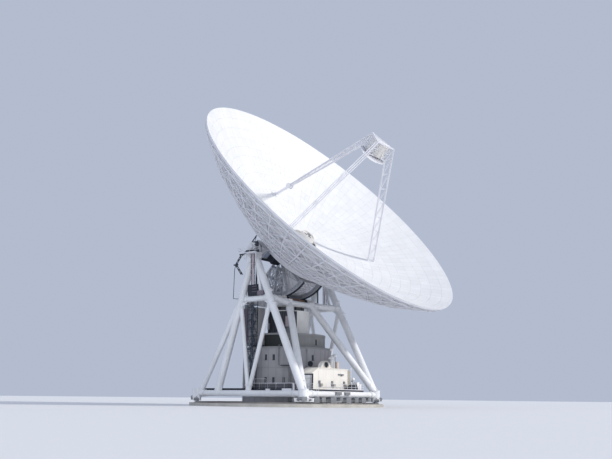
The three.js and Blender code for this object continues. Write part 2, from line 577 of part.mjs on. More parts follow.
function buildCabin() {
  const bottom = BASE_HEIGHT + BEAM_TUBE + SEAT_GAP;
  const deck = bottom + PLATFORM_THICKNESS;
  place(alidade, 'front_platform', box(PLATFORM_X, PLATFORM_Y, [bottom, deck]), GEAR_STEEL);
  const wallBottom = deck + SEAT_GAP;
  const wallTop = deck + CABIN_HEIGHT;
  const [slopeLength, slopeDepth] = CABIN_SLOPE;
  const slopeEnd = CABIN_X[0] + slopeLength;
  const outer = plateAcrossY([[CABIN_X[0], wallBottom], [CABIN_X[1], wallBottom], [CABIN_X[1], wallTop],
    [slopeEnd, wallTop], [CABIN_X[0], wallTop - slopeDepth]], ...CABIN_Y);
  const inner = box([CABIN_X[0] + CABIN_WALL, CABIN_X[1] - CABIN_WALL],
    [CABIN_Y[0] + CABIN_WALL, CABIN_Y[1] - CABIN_WALL], [wallBottom - 1, wallTop + 1]);
  const doorY = CABIN_Y[0] + DOOR_CORNER;
  const door = box([CABIN_X[0] - 1, CABIN_X[0] + 1], [doorY, doorY + CABIN_DOOR[0]],
    [wallBottom - 1, wallBottom + CABIN_DOOR[1]]);
  place(alidade, 'cabin_walls', cut(outer, [inner, door]), CABIN_PANEL);
  place(alidade, 'cabin_door', box(DOOR_PLACE.map((depth) => CABIN_X[0] + depth),
    [doorY + SEAT_GAP, doorY + CABIN_DOOR[0] - SEAT_GAP],
    [wallBottom, wallBottom + CABIN_DOOR[1] - SEAT_GAP]), CABIN_PANEL);
  const eaveDrop = slopeDepth * (1 + CABIN_EAVE / slopeLength);
  const roofLine = [[CABIN_X[0] - CABIN_EAVE, wallTop - eaveDrop], [slopeEnd, wallTop],
    [CABIN_X[1] + CABIN_EAVE, wallTop]];
  const roof = plateAcrossY([...roofLine.map(([x, z]) => [x, z + SEAT_GAP]),
    ...roofLine.map(([x, z]) => [x, z + CABIN_ROOF]).reverse()], CABIN_Y[0] - CABIN_EAVE, CABIN_Y[1]);
  place(alidade, 'cabin_roof', roof, CABIN_PANEL);
}

function buildStairTower() {
  const [x0, x1] = STAIR_X;
  const [y0, y1] = STAIR_Y;
  const [top, lastLevel] = STAIR_TOP_DROP.map((drop) => MID_HEIGHT - drop);
  const post = (x, y) => box([x, x + STAIR_BAR], [y, y + STAIR_BAR], [STAIR_BOTTOM, top]);
  const pieces = [post(x0, y0), post(x1 - STAIR_BAR, y0), post(x0, y1 - STAIR_BAR),
    post(x1 - STAIR_BAR, y1 - STAIR_BAR)];
  for (let level = 0; level <= STAIR_LEVELS; level += 1) {
    const z = STAIR_BOTTOM + ((lastLevel - STAIR_BOTTOM) * level) / STAIR_LEVELS;
    pieces.push(box([x0, x1], [y0, y1], [z, z + STAIR_BAR]));
  }
  place(alidade, 'stair_tower', cut(join(pieces), [towerTools(-1).strut]), GEAR_STEEL);
}

// Dish, in a frame with +Z along the dish axis and X along the elevation axis

const FOCAL_FACTOR = DISH_RADIUS ** 2 / (RIM_OFFSET - VERTEX_OFFSET);
const surface = (radius) => VERTEX_OFFSET + radius ** 2 / FOCAL_FACTOR;
const polar = (radius, degrees, height) =>
  vec(radius * Math.cos(radians(degrees)), radius * Math.sin(radians(degrees)), height);

// The back of the reflector skin at a radius, straight between the radii of its rows.
function skinBack(radius) {
  const i = Math.max(1, SKIN_RADII.findIndex((row) => row >= radius));
  const [inner, outer] = [SKIN_RADII[i - 1], SKIN_RADII[i]];
  const t = (radius - inner) / (outer - inner);
  return surface(inner) * (1 - t) + surface(outer) * t - SKIN_THICKNESS;
}

function buildReflector() {
  const front = SKIN_RADII.map((radius) => [radius, surface(radius)]);
  const back = front.map(([radius, height]) => [radius, height - SKIN_THICKNESS]).reverse();
  const skin = revolve([...front, ...back], ROUND_SEGMENTS);
  for (let quarter = 0; quarter < 4; quarter += 1) {
    const start = quarter * 90;
    place(bowl, `reflector_quarter_${quarter + 1}`,
      skin.intersect(wedge(start, start + 90, DISH_RADIUS, 0, RIM_OFFSET + 2)), WHITE_PAINT);
  }
}

// The flat outline of one radial truss, as [radius, height], with the triangles cut out of it.
function ribShape(open) {
  const inner = RIB_RADII[0] - RIB_BAR / 2;
  const outer = RIB_RADII[RIB_RADII.length - 1] + RIB_BAR / 2;
  const front = (radius) => skinBack(radius) - SEAT_GAP;
  const back = (radius) => {
    const i = Math.max(1, RIB_RADII.findIndex((node) => node >= radius - RIB_BAR));
    const t = (radius - RIB_RADII[i - 1]) / (RIB_RADII[i] - RIB_RADII[i - 1]);
    return RIB_BACK_OFFSETS[i - 1] * (1 - t) + RIB_BACK_OFFSETS[i] * t;
  };
  const frontRadii = [inner, ...SKIN_RADII.filter((radius) => radius > inner && radius < outer), outer];
  const backRadii = [inner, ...RIB_RADII.slice(1, -1), outer];
  const shape = new THREE.Shape([
    ...frontRadii.map((radius) => new THREE.Vector2(radius * METRE, front(radius) * METRE)),
    ...backRadii.reverse().map((radius) => new THREE.Vector2(radius * METRE, back(radius) * METRE)),
  ]);
  const toward = ([x0, y0], [x1, y1], length) => {
    const t = length / Math.hypot(x1 - x0, y1 - y0);
    return [x0 + (x1 - x0) * t, y0 + (y1 - y0) * t];
  };
  for (let i = 1; open && i < RIB_RADII.length; i += 1) {
    const [from, to] = [RIB_RADII[i - 1] + RIB_BAR / 2, RIB_RADII[i] - RIB_BAR / 2];
    const [a, b] = [[from, back(from) + RIB_CHORD], [to, back(to) + RIB_CHORD]];
    const [c, d] = [[to, front(to) - RIB_CHORD], [from, front(from) - RIB_CHORD]];
    const gap = Math.min(RIB_DIAGONAL, (c[1] - b[1]) / 2);
    for (const triangle of [[toward(a, b, RIB_DIAGONAL), b, toward(c, b, gap)],
      [toward(a, d, RIB_DIAGONAL), toward(c, d, gap), d]]) {
      shape.holes.push(new THREE.Path(triangle.map(([x, y]) => new THREE.Vector2(x * METRE, y * METRE))));
    }
  }
  return shape;
}

// One radial truss of the backup structure; closed and a little thicker where it cuts its neighbours.
function rib(angle, open = true) {
  const width = (RIB_BAR + (open ? 0 : 2 * SEAT_GAP)) * METRE;
  const geometry = new THREE.ExtrudeGeometry(ribShape(open), { depth: width, bevelEnabled: false });
  geometry.translate(0, 0, -width / 2).rotateX(Math.PI / 2).rotateZ(radians(angle));
  return solid(geometry);
}

// The ring bars from one radial truss to the next, ending just short of its middle.
function ringBars(angle, step) {
  return RIB_RADII.slice(1).map((radius, i) => {
    const height = RIB_BACK_OFFSETS[i + 1] + RIB_CHORD / 2 + RING_BAR_RISE;
    const from = polar(radius, angle, height);
    const to = polar(radius, angle + step, height);
    const stop = 1 - (RING_BAR_SHORT * METRE) / from.distanceTo(to);
    return bar(from, from.clone().lerp(to, stop), RING_BAR);
  });
}

function buildBackup() {
  const step = 360 / RIB_COUNT;
  const perQuarter = RIB_COUNT / 4;
  for (let quarter = 0; quarter < 4; quarter += 1) {
    const first = quarter * 90 + step / 2;
    const bars = [];
    for (let i = 0; i < perQuarter; i += 1) {
      bars.push(rib(first + i * step), ...ringBars(first + i * step, step));
    }
    const next = rib(first + perQuarter * step, false);
    place(bowl, `backup_quarter_${quarter + 1}`, cut(join(bars), [next]), LATTICE_PAINT);
  }
}

function buildElevationFrame() {
  const outer = (RIB_RADII[0] - RIB_BAR / 2 - SEAT_GAP) / Math.cos(Math.PI / RIB_COUNT);
  const hub = revolve([
    [0, HUB_TOP], [outer, HUB_TOP], [outer, HUB_BOTTOM], [HUB_INNER_RADIUS, HUB_BOTTOM],
    [HUB_INNER_RADIUS, HUB_TOP - HUB_PLATE], [0, HUB_TOP - HUB_PLATE]], RIB_COUNT, -DISH_DROP);
  const beam = box([-AXLE_BEAM_HALF_LENGTH, AXLE_BEAM_HALF_LENGTH],
    [-AXLE_BEAM_HALF_WIDTH, AXLE_BEAM_HALF_WIDTH], [AXLE_BEAM_BOTTOM, HUB_BOTTOM + 0.1]);
  const trunnion = tube(vec(-TRUNNION_END, 0, 0), vec(TRUNNION_END, 0, 0), TRUNNION_RADIUS, 32);
  place(dish, 'elevation_frame', join([hub, beam, trunnion]), LATTICE_PAINT);
}

// Y and Z of a point round the elevation axis, by its angle from the back of the dish axis.
const roundAxis = (radius, degrees) =>
  [radius * Math.sin(radians(degrees)), -radius * Math.cos(radians(degrees))];

function arcOutline(inner, outer, start, end, steps) {
  const points = [];
  for (let i = 0; i <= steps; i += 1) points.push(roundAxis(outer, start + ((end - start) * i) / steps));
  for (let i = steps; i >= 0; i -= 1) points.push(roundAxis(inner, start + ((end - start) * i) / steps));
  return points;
}

function buildGearSectors() {
  const beamTool = box([-AXLE_BEAM_HALF_LENGTH, AXLE_BEAM_HALF_LENGTH],
    [-AXLE_BEAM_HALF_WIDTH - SEAT_GAP, AXLE_BEAM_HALF_WIDTH + SEAT_GAP], [AXLE_BEAM_BOTTOM - SEAT_GAP, 3]);
  for (const [name, side] of towers) {
    const x0 = side * GEAR_X - GEAR_WIDTH / 2;
    const x1 = side * GEAR_X + GEAR_WIDTH / 2;
    const outline = arcOutline(GEAR_RADIUS - GEAR_DEPTH, GEAR_RADIUS, GEAR_START, GEAR_END, 20);
    const rim = plateAcrossX(outline, x0, x1);
    const spokes = GEAR_SPOKES.map((angle) => {
      const [y, z] = roundAxis(GEAR_RADIUS - GEAR_DEPTH / 2, angle);
      return tube(vec(side * GEAR_X, 0, 0), vec(side * GEAR_X, y, z), SPOKE_TUBE, 6);
    });
    place(dish, `gear_sector_${name}`, cut(join([rim, ...spokes]), [beamTool]), GEAR_STEEL);
  }
  const drumOutline = arcOutline(DRUM_INNER_RADIUS, DRUM_RADIUS, DRUM_START, DRUM_END, 12);
  place(dish, 'counterweight_drum', cut(plateAcrossX(drumOutline, -DRUM_HALF_WIDTH, DRUM_HALF_WIDTH),
    [beamTool]), DRUM_GREY);
}

function buildFeedCone() {
  const [skirtInner, skirtFloor, skirtTop] = CONE_SKIRT;
  place(bowl, 'feed_cone', revolve([
    [0, HUB_TOP + SEAT_GAP], [CONE_BASE_RADIUS, HUB_TOP + SEAT_GAP], [CONE_BASE_RADIUS, skirtTop],
    [skirtInner, skirtTop], [skirtInner, skirtFloor], [CONE_FOOT_RADIUS, skirtFloor],
    [CONE_TOP_RADIUS, CONE_TOP], [CONE_TOP_RADIUS - CONE_LIP, CONE_TOP],
    [CONE_TOP_RADIUS - CONE_LIP, CONE_TOP - CONE_RECESS], [0, CONE_TOP - CONE_RECESS]], 24), BOX_BEIGE);
}

// The triangular frame that joins the tops of the legs, grown by a gap where it is used to cut them.
function topFrame(grow) {
  const angles = Object.values(LEG_ANGLES);
  const bars = [];
  angles.forEach((angle, i) => {
    const next = angles[(i + 1) % angles.length];
    for (const height of [LEG_TOP_INNER, LEG_TOP_OUTER]) {
      bars.push(bar(polar(LEG_TOP_RADIUS, angle, height), polar(LEG_TOP_RADIUS, next, height),
        LEG_CHORD + 2 * grow));
    }
    bars.push(bar(polar(LEG_TOP_RADIUS, angle, LEG_TOP_INNER - LEG_CHORD - grow),
      polar(LEG_TOP_RADIUS, angle, LEG_TOP_OUTER + LEG_CHORD / 2 + grow),
      LEG_CHORD + TOP_POST_EXTRA + 2 * grow));
  });
  return join(bars);
}

// One lattice leg that holds the subreflector, standing on the reflector.
function leg(angle, footRadius) {
  const footHeight = surface(footRadius);
  const inner = [polar(footRadius - LEG_FOOT_DEPTH / 2, angle, footHeight - LEG_FOOT_SINK[0]),
    polar(LEG_TOP_RADIUS, angle, LEG_TOP_INNER)];
  const outer = [polar(footRadius + LEG_FOOT_DEPTH / 2, angle, footHeight - LEG_FOOT_SINK[1]),
    polar(LEG_TOP_RADIUS, angle, LEG_TOP_OUTER)];
  const at = ([foot, top], t) => foot.clone().lerp(top, t);
  const bars = [bar(...inner, LEG_CHORD), bar(...outer, LEG_CHORD)];
  for (let i = 1; i < LEG_PANELS; i += 1) {
    const [from, to] = i % 2 ? [inner, outer] : [outer, inner];
    bars.push(bar(at(from, i / LEG_PANELS), at(to, (i + 1) / LEG_PANELS), LEG_LACING));
  }
  bars.push(bar(at(inner, 1 / LEG_PANELS), at(outer, 1 / LEG_PANELS), LEG_LACING));
  return join(bars);
}

function buildSubreflector() {
  const front = SKIN_RADII.map((radius) => [radius, surface(radius) + SEAT_GAP]);
  const underSkin = revolve([...front, [DISH_RADIUS, 0], [SKIN_RADII[0], 0]], ROUND_SEGMENTS);
  const frameTool = topFrame(SEAT_GAP);
  for (const [name, angle] of Object.entries(LEG_ANGLES)) {
    place(bowl, `subreflector_leg_${name}`,
      cut(leg(angle, LEG_FOOT_RADII[name]), [underSkin, frameTool]), LATTICE_PAINT);
  }
  place(bowl, 'top_frame', topFrame(0), LATTICE_PAINT);
  const bulge = [0, 0.35, 0.7, 1].map((part) => [part * SUBREFLECTOR_RADIUS,
    SUBREFLECTOR_APEX + (SUBREFLECTOR_RIM - SUBREFLECTOR_APEX) * part ** 2]);
  place(bowl, 'subreflector', revolve([...bulge, [0, SUBREFLECTOR_RIM]], 32), WHITE_PAINT);
  const boxBottom = LEG_TOP_INNER + LEG_CHORD / 2 + SEAT_GAP;
  place(bowl, 'subreflector_box', revolve([
    [0, SUBREFLECTOR_RIM + SEAT_GAP], [SUBREFLECTOR_NECK_RADIUS, SUBREFLECTOR_RIM + SEAT_GAP],
    [SUBREFLECTOR_NECK_RADIUS, boxBottom], [SUBREFLECTOR_BOX_RADIUS, boxBottom],
    [SUBREFLECTOR_BOX_RADIUS, LEG_TOP_OUTER - LEG_CHORD / 2 - SEAT_GAP],
    [0, LEG_TOP_OUTER - LEG_CHORD / 2 - SEAT_GAP]], 12), BOX_BEIGE);
}

buildTrack();
buildBuilding();
buildBogies();
buildBaseBeams();
towers.forEach(([name, side]) => buildTower(name, side));
buildMidFrame();
buildRingLegs();
buildHousings();
buildBearings();
buildSideWalkway();
buildCabin();
buildStairTower();
buildReflector();
buildBackup();
buildElevationFrame();
buildGearSectors();
buildFeedCone();
buildSubreflector();

export default antenna;
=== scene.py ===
import itertools
import json
import math

import bmesh
import bpy
from mathutils import Matrix, Vector


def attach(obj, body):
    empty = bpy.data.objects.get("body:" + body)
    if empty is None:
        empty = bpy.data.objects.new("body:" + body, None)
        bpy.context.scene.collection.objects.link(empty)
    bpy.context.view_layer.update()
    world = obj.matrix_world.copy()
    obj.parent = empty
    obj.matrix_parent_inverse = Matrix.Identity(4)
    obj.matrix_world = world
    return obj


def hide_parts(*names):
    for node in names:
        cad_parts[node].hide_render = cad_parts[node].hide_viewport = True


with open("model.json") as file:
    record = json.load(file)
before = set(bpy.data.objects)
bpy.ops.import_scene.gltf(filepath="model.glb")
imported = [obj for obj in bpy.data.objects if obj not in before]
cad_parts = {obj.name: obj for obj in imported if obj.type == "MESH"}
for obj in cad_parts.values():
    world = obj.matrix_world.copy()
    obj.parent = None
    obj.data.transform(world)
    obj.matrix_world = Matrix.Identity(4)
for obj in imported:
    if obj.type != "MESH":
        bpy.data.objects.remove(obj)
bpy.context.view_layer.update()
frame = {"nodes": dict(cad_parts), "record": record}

METRE = 0.5

# The photograph's camera
SENSOR_WIDTH = 36.0
LENS = 44.79
CAMERA_PLACE = (-126.86, -103.24, 1.7)
CAMERA_HEADING = 52.14
CAMERA_PITCH = 12.48
CAMERA_ROLL = 0.6

# Directions towards the key light and towards the soft fill light
SUN = (0.335, -0.845, 0.425)
FILL = (-0.80, -0.55, 0.22)

# The telescope's main sizes
TILT = 42.2
AXIS_HEIGHT = 32.0
DISH_RADIUS = 32.0
VERTEX = 4.9
RIM = 15.86
DISH_DROP = 0.59
TOWER_TOP_X = 11.37
TOWER_FOOT_X = 12.34
BASE_HEIGHT = 2.5
FRONT_FOOT_Y = -14.05
REAR_FOOT_Y = 8.2
CORNER_Y = 14.05
STAY_FOOT_Y = 13.1
BRACE_FOOT_Y = -0.2
MID_HEIGHT = 21.28
MID_CORNER = (3.75, 3.2)
TRACK_RADIUS = 18.7
BUILDING_RADIUS = 9.3
BUILDING_TOP = 11.5
TIER_RADIUS = 7.9
TIER_TOP = 14.6
ROOF_SLAB = BUILDING_TOP + 0.3

SIDES = {"left": -1, "right": 1}


def rotation(degrees, axis):
    return Matrix.Rotation(math.radians(degrees), 4, axis)


def shift(x, y, z):
    return Matrix.Translation((x, y, z))


DISH = shift(0, 0, AXIS_HEIGHT) @ rotation(90 - TILT, "X")
BOWL = DISH @ shift(0, -DISH_DROP, 0)
LEVEL = Matrix.Identity(4)
ALONG_AXLE = rotation(90, "Y")


def polar(radius, degrees, height):
    angle = math.radians(degrees)
    return Vector((radius * math.cos(angle), radius * math.sin(angle), height))


def round_axis(x, radius, degrees):
    """A point round the elevation axis, by its angle from the back of the dish axis."""
    return ALONG_AXLE @ polar(radius, degrees, x)


def surface(radius):
    return VERTEX + (RIM - VERTEX) * (radius / DISH_RADIUS) ** 2


def mix(a, b, share):
    return a + (b - a) * share


def steps(start, end, count):
    """Evenly spread values from start to end, with both of them."""
    return [mix(start, end, i / count) for i in range(count + 1)]


def series(start, step, count):
    return [start + step * i for i in range(count)]


def about(middle, half):
    """The span round a middle, or a list of spans for a list of middles."""
    if isinstance(middle, list):
        return [about(one, half) for one in middle]
    return middle - half, middle + half


def over(low, height):
    """The span that starts at low, or a list of spans for a list of lows."""
    if isinstance(low, list):
        return [over(one, height) for one in low]
    return low, low + height


def band(radii, heights):
    """The rectangular profile of a ring, or of a disc where it starts at the axis."""
    (inner, outer), (low, high) = radii, heights
    return [(inner, low), (outer, low), (outer, high), (inner, high)]


# Mesh building


class Piece:
    """Collects the faces of one visible piece in real metres, then puts it on its body."""

    def __init__(self, name, body="alidade", place=LEVEL):
        self.name = name
        self.body = body
        self.place = place
        self.points = []
        self.faces = []

    def add(self, points, faces, place=None):
        start = len(self.points)
        turn = self.place @ place if place else self.place
        self.points.extend(turn @ Vector(point) for point in points)
        self.faces.extend([start + i for i in face] for face in faces)

    def loft(self, rings, place=None):
        """Joins rings of equally many points, one after another, and closes both ends."""
        count = len(rings[0])
        last = count * (len(rings) - 1)
        faces = [tuple(range(count)), tuple(range(last, last + count))]
        for start in range(0, last, count):
            for k in range(count):
                n = (k + 1) % count
                faces.append((start + k, start + n, start + count + n, start + count + k))
        self.add([point for ring in rings for point in ring], faces, place)

    def box(self, x, y, z, place=None):
        """A box between the spans. An axis with a list of spans makes a box for each of them."""
        axes = [axis if isinstance(axis, list) else [axis] for axis in (x, y, z)]
        for ends, (y0, y1), (z0, z1) in itertools.product(*axes):
            self.loft([[(end, y0, z0), (end, y1, z0), (end, y1, z1), (end, y0, z1)] for end in ends], place)

    def block(self, centre, size):
        self.box(*(about(middle, length / 2) for middle, length in zip(centre, size)))

    def plate(self, outline, x):
        """A flat plate across X with a plain outline of (y, z) points."""
        self.loft([[(depth, y, z) for y, z in outline] for depth in x])

    def bar(self, a, b, width, depth, up=(0, 0, 1)):
        a, b = Vector(a), Vector(b)
        along = (b - a).normalized()
        side = along.cross(Vector(up)).normalized()
        top = side.cross(along)
        corners = [side * (i * width / 2) + top * (j * depth / 2)
                   for i, j in ((-1, -1), (1, -1), (1, 1), (-1, 1))]
        self.loft([[end + corner for corner in corners] for end in (a, b)])

    def pipe(self, route, radius, sides=8, end_radius=None, place=None):
        """A round pipe through the points of route, mitred at its corners."""
        route = [Vector(point) for point in route]
        angles = [2 * math.pi * k / sides for k in range(sides)]
        rings = []
        side = None
        for i, point in enumerate(route):
            before = (point - route[i - 1]).normalized() if i else None
            after = (route[i + 1] - point).normalized() if i + 1 < len(route) else None
            along = ((before or after) + (after or before)).normalized()
            side = side or along.orthogonal()
            side = (side - along * side.dot(along)).normalized()
            other = along.cross(side)
            reach = radius if i == 0 or end_radius is None else end_radius
            rings.append([point + (side * math.cos(a) + other * math.sin(a)) * reach for a in angles])
        self.loft(rings, place)

    def rod(self, a, b, radius, sides=6, end_radius=None, place=None):
        self.pipe([a, b], radius, sides, end_radius, place)

    def rods(self, *members):
        for member in members:
            self.rod(*member)

    def post(self, x, y, z, radius, sides=6, end_radius=None):
        """An upright rod over the span z."""
        self.rod((x, y, z[0]), (x, y, z[1]), radius, sides, end_radius)

    def lathe(self, profile, segments=48, place=None, start=0.0, end=360.0):
        """Turns [radius, height] points round Z. A profile that leaves the axis free closes on itself."""
        whole = end - start >= 360
        columns = segments if whole else segments + 1
        points, rows = [], []
        for radius, height in profile:
            first = len(points)
            if radius == 0:
                points.append((0, 0, height))
                rows.append([first] * columns)
                continue
            points.extend(polar(radius, mix(start, end, i / segments), height) for i in range(columns))
            rows.append([first + i for i in range(columns)])
        closed = profile[0][0] > 0 and profile[-1][0] > 0
        faces = []
        for low, high in zip(rows, rows[1:] + rows[:1] if closed else rows[1:]):
            for i in range(segments):
                n = (i + 1) % columns
                face = [low[i], low[n], high[n], high[i]]
                faces.append([v for k, v in enumerate(face) if v not in face[:k]])
        if not whole:
            faces += [[row[0] for row in rows], [row[-1] for row in rows]]
        self.add(points, [face for face in faces if len(face) > 2], place)

    def sector(self, x, radii, angles, segments):
        """A plate across X between two radii and two angles round the elevation axis."""
        self.lathe(band(radii, x), segments, ALONG_AXLE, *angles)

    def put(self, look, *replaced, slot=None, crease=40.0):
        """Makes the object, with its material, and lets it ride on its body."""
        mesh = bpy.data.meshes.new(self.name)
        mesh.from_pydata([point * METRE for point in self.points], [], self.faces)
        work = bmesh.new()
        work.from_mesh(mesh)
        bmesh.ops.recalc_face_normals(work, faces=work.faces)
        work.to_mesh(mesh)
        work.free()
        mesh.shade_smooth()
        mesh.set_sharp_from_angle(angle=math.radians(crease))
        mesh.materials.append(LOOKS[look])
        thing = bpy.data.objects.new(self.name, mesh)
        bpy.context.scene.collection.objects.link(thing)
        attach(thing, self.body)
        slot = slot or SLOT_OF_LOOK.get(look)
        if replaced:
            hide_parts(*replaced)


# Lattice, railing and tube helpers


def braced(piece, a0, a1, b0, b1, bays, radius):
    """Rungs and crossed diagonals between two chords, a0 to a1 and b0 to b1."""
    a0, a1, b0, b1 = (Vector(point) for point in (a0, a1, b0, b1))
    for i in range(bays + 1):
        here, there = a0.lerp(a1, i / bays), b0.lerp(b1, i / bays)
        piece.rod(here, there, radius)
        if i < bays:
            piece.rod(here, b0.lerp(b1, (i + 1) / bays), radius * 0.8, 5)
            piece.rod(there, a0.lerp(a1, (i + 1) / bays), radius * 0.8, 5)


def railing(piece, route, height=1.1, gap=1.4):
    """Posts, two rails and a toe board along a route at deck level."""
    route = [Vector(point) for point in route]
    rise = Vector((0, 0, height))
    piece.rod(route[0], route[0] + rise, 0.04)
    for a, b in zip(route, route[1:]):
        count = max(1, round((b - a).length / gap))
        for i in range(1, count + 1):
            post = a.lerp(b, i / count)
            piece.rod(post, post + rise, 0.04)
        for share in (0.5, 1.0):
            piece.rod(a + rise * share, b + rise * share, 0.035)
        piece.bar(a + rise * 0.07, b + rise * 0.07, 0.02, 0.14)


def ladder(piece, a, b, across, width=0.5, gap=0.35):
    """Two stringers from a to b with rungs between them."""
    a, b, half = Vector(a), Vector(b), Vector(across).normalized() * width / 2
    for side in (-1, 1):
        piece.rod(a + half * side, b + half * side, 0.04)
    count = round((b - a).length / gap)
    for i in range(1, count):
        middle = a.lerp(b, i / count)
        piece.rod(middle - half, middle + half, 0.025, 5)


def tube(piece, a, b, radius, seam=3.4):
    """A round steel tube with its weld seams."""
    a, b = Vector(a), Vector(b)
    piece.rod(a, b, radius, 32)
    count = max(2, round((b - a).length / seam))
    step = (b - a).normalized() * 0.04
    for i in range(1, count):
        middle = a.lerp(b, i / count)
        piece.rod(middle - step, middle + step, radius + 0.018, 32)


def collars(piece, a, b, radius, shares, length=0.16):
    """A pair of bolted flanges near each end of the tube from a to b, at the two shares of its length."""
    for start, end, share in ((a, b, shares[0]), (b, a, shares[1])):
        spot = start.lerp(end, share)
        along = (end - spot).normalized()
        piece.rod(spot, spot + along * length, radius + 0.12, 32)
        piece.rod(spot + along * length * 1.6, spot + along * length * 2.6, radius + 0.12, 32)


# Materials


def principled(look):
    look.use_nodes = True
    return look.node_tree, look.node_tree.nodes["Principled BSDF"]


def noise(tree, place, scale, detail=4.0, stretch=(1, 1, 1)):
    """A noise value over the piece's own coordinates, stretched along some axes."""
    turn = tree.nodes.new("ShaderNodeMapping")
    turn.inputs["Scale"].default_value = stretch
    tree.links.new(place, turn.inputs["Vector"])
    cloud = tree.nodes.new("ShaderNodeTexNoise")
    cloud.inputs["Scale"].default_value = scale
    cloud.inputs["Detail"].default_value = detail
    tree.links.new(turn.outputs["Vector"], cloud.inputs["Vector"])
    return cloud.outputs["Fac"]


def spread(tree, value, low, high, to_low, to_high):
    """Maps a value from one range to another, clamped."""
    node = tree.nodes.new("ShaderNodeMapRange")
    for name, number in (("From Min", low), ("From Max", high), ("To Min", to_low), ("To Max", to_high)):
        node.inputs[name].default_value = number
    tree.links.new(value, node.inputs["Value"])
    return node.outputs["Result"]


def blend_colour(tree, share, first, second):
    """Mixes two colours, each a socket or a plain colour, by a value."""
    node = tree.nodes.new("ShaderNodeMix")
    node.data_type = "RGBA"
    for name, colour in (("A", first), ("B", second)):
        socket = [s for s in node.inputs if s.name == name and s.type == "RGBA"][0]
        if isinstance(colour, tuple):
            socket.default_value = (*colour, 1)
        else:
            tree.links.new(colour, socket)
    tree.links.new(share, node.inputs[0])
    return [s for s in node.outputs if s.type == "RGBA"][0]


def tint(colour, factor):
    return tuple(min(1.0, c * factor) for c in colour)


def paint(name, colour, roughness=0.5, metallic=0.0, mottle=0.08, size=0.6, streak=0.1,
          dirt=(0.36, 0.33, 0.28), dirt_share=0.0, bump=0.02, grain=60.0, coat=0.0):
    """Paint or plain surface with soft patches, rain streaks, dirt in places and a fine grain."""
    look = bpy.data.materials.new(name)
    tree, shader = principled(look)
    place = tree.nodes.new("ShaderNodeTexCoord").outputs["Object"]
    patches = noise(tree, place, size)
    streaks = noise(tree, place, 2.2, 3.0, (1, 1, 0.08))
    base = blend_colour(tree, spread(tree, patches, 0.35, 0.65, 0, 1),
                        tint(colour, 1 - mottle), tint(colour, 1 + mottle / 2))
    base = blend_colour(tree, spread(tree, streaks, 0.5, 0.75, 0, streak), base, tint(colour, 0.62))
    if dirt_share:
        spots = noise(tree, place, 1.3, 8.0)
        base = blend_colour(tree, spread(tree, spots, 0.55, 0.8, 0, dirt_share), base, dirt)
    tree.links.new(base, shader.inputs["Base Color"])
    tree.links.new(spread(tree, patches, 0.3, 0.7, roughness - 0.07, roughness + 0.08),
                   shader.inputs["Roughness"])
    shader.inputs["Metallic"].default_value = metallic
    shader.inputs["Coat Weight"].default_value = coat
    relief = tree.nodes.new("ShaderNodeBump")
    relief.inputs["Strength"].default_value = 0.35
    relief.inputs["Distance"].default_value = bump
    tree.links.new(noise(tree, place, grain, 2.0), relief.inputs["Height"])
    tree.links.new(relief.outputs["Normal"], shader.inputs["Normal"])
    return look


def panel_paint(name, colour):
    """White panel paint whose tone changes a little from panel to panel."""
    look = paint(name, colour, 0.45, mottle=0.03, streak=0.03, bump=0.004)
    tree, shader = principled(look)
    base = shader.inputs["Base Color"].links[0].from_socket
    island = tree.nodes.new("ShaderNodeNewGeometry").outputs["Random Per Island"]
    toned = blend_colour(tree, spread(tree, island, 0, 1, 0, 0.5), base, tint(colour, 0.9))
    tree.links.new(toned, shader.inputs["Base Color"])
    return look


def glass(name):
    look = bpy.data.materials.new(name)
    tree, shader = principled(look)
    place = tree.nodes.new("ShaderNodeTexCoord").outputs["Object"]
    base = blend_colour(tree, noise(tree, place, 3.0), (0.015, 0.02, 0.028), (0.05, 0.07, 0.09))
    tree.links.new(base, shader.inputs["Base Color"])
    shader.inputs["Roughness"].default_value = 0.08
    shader.inputs["Coat Weight"].default_value = 0.6
    return look


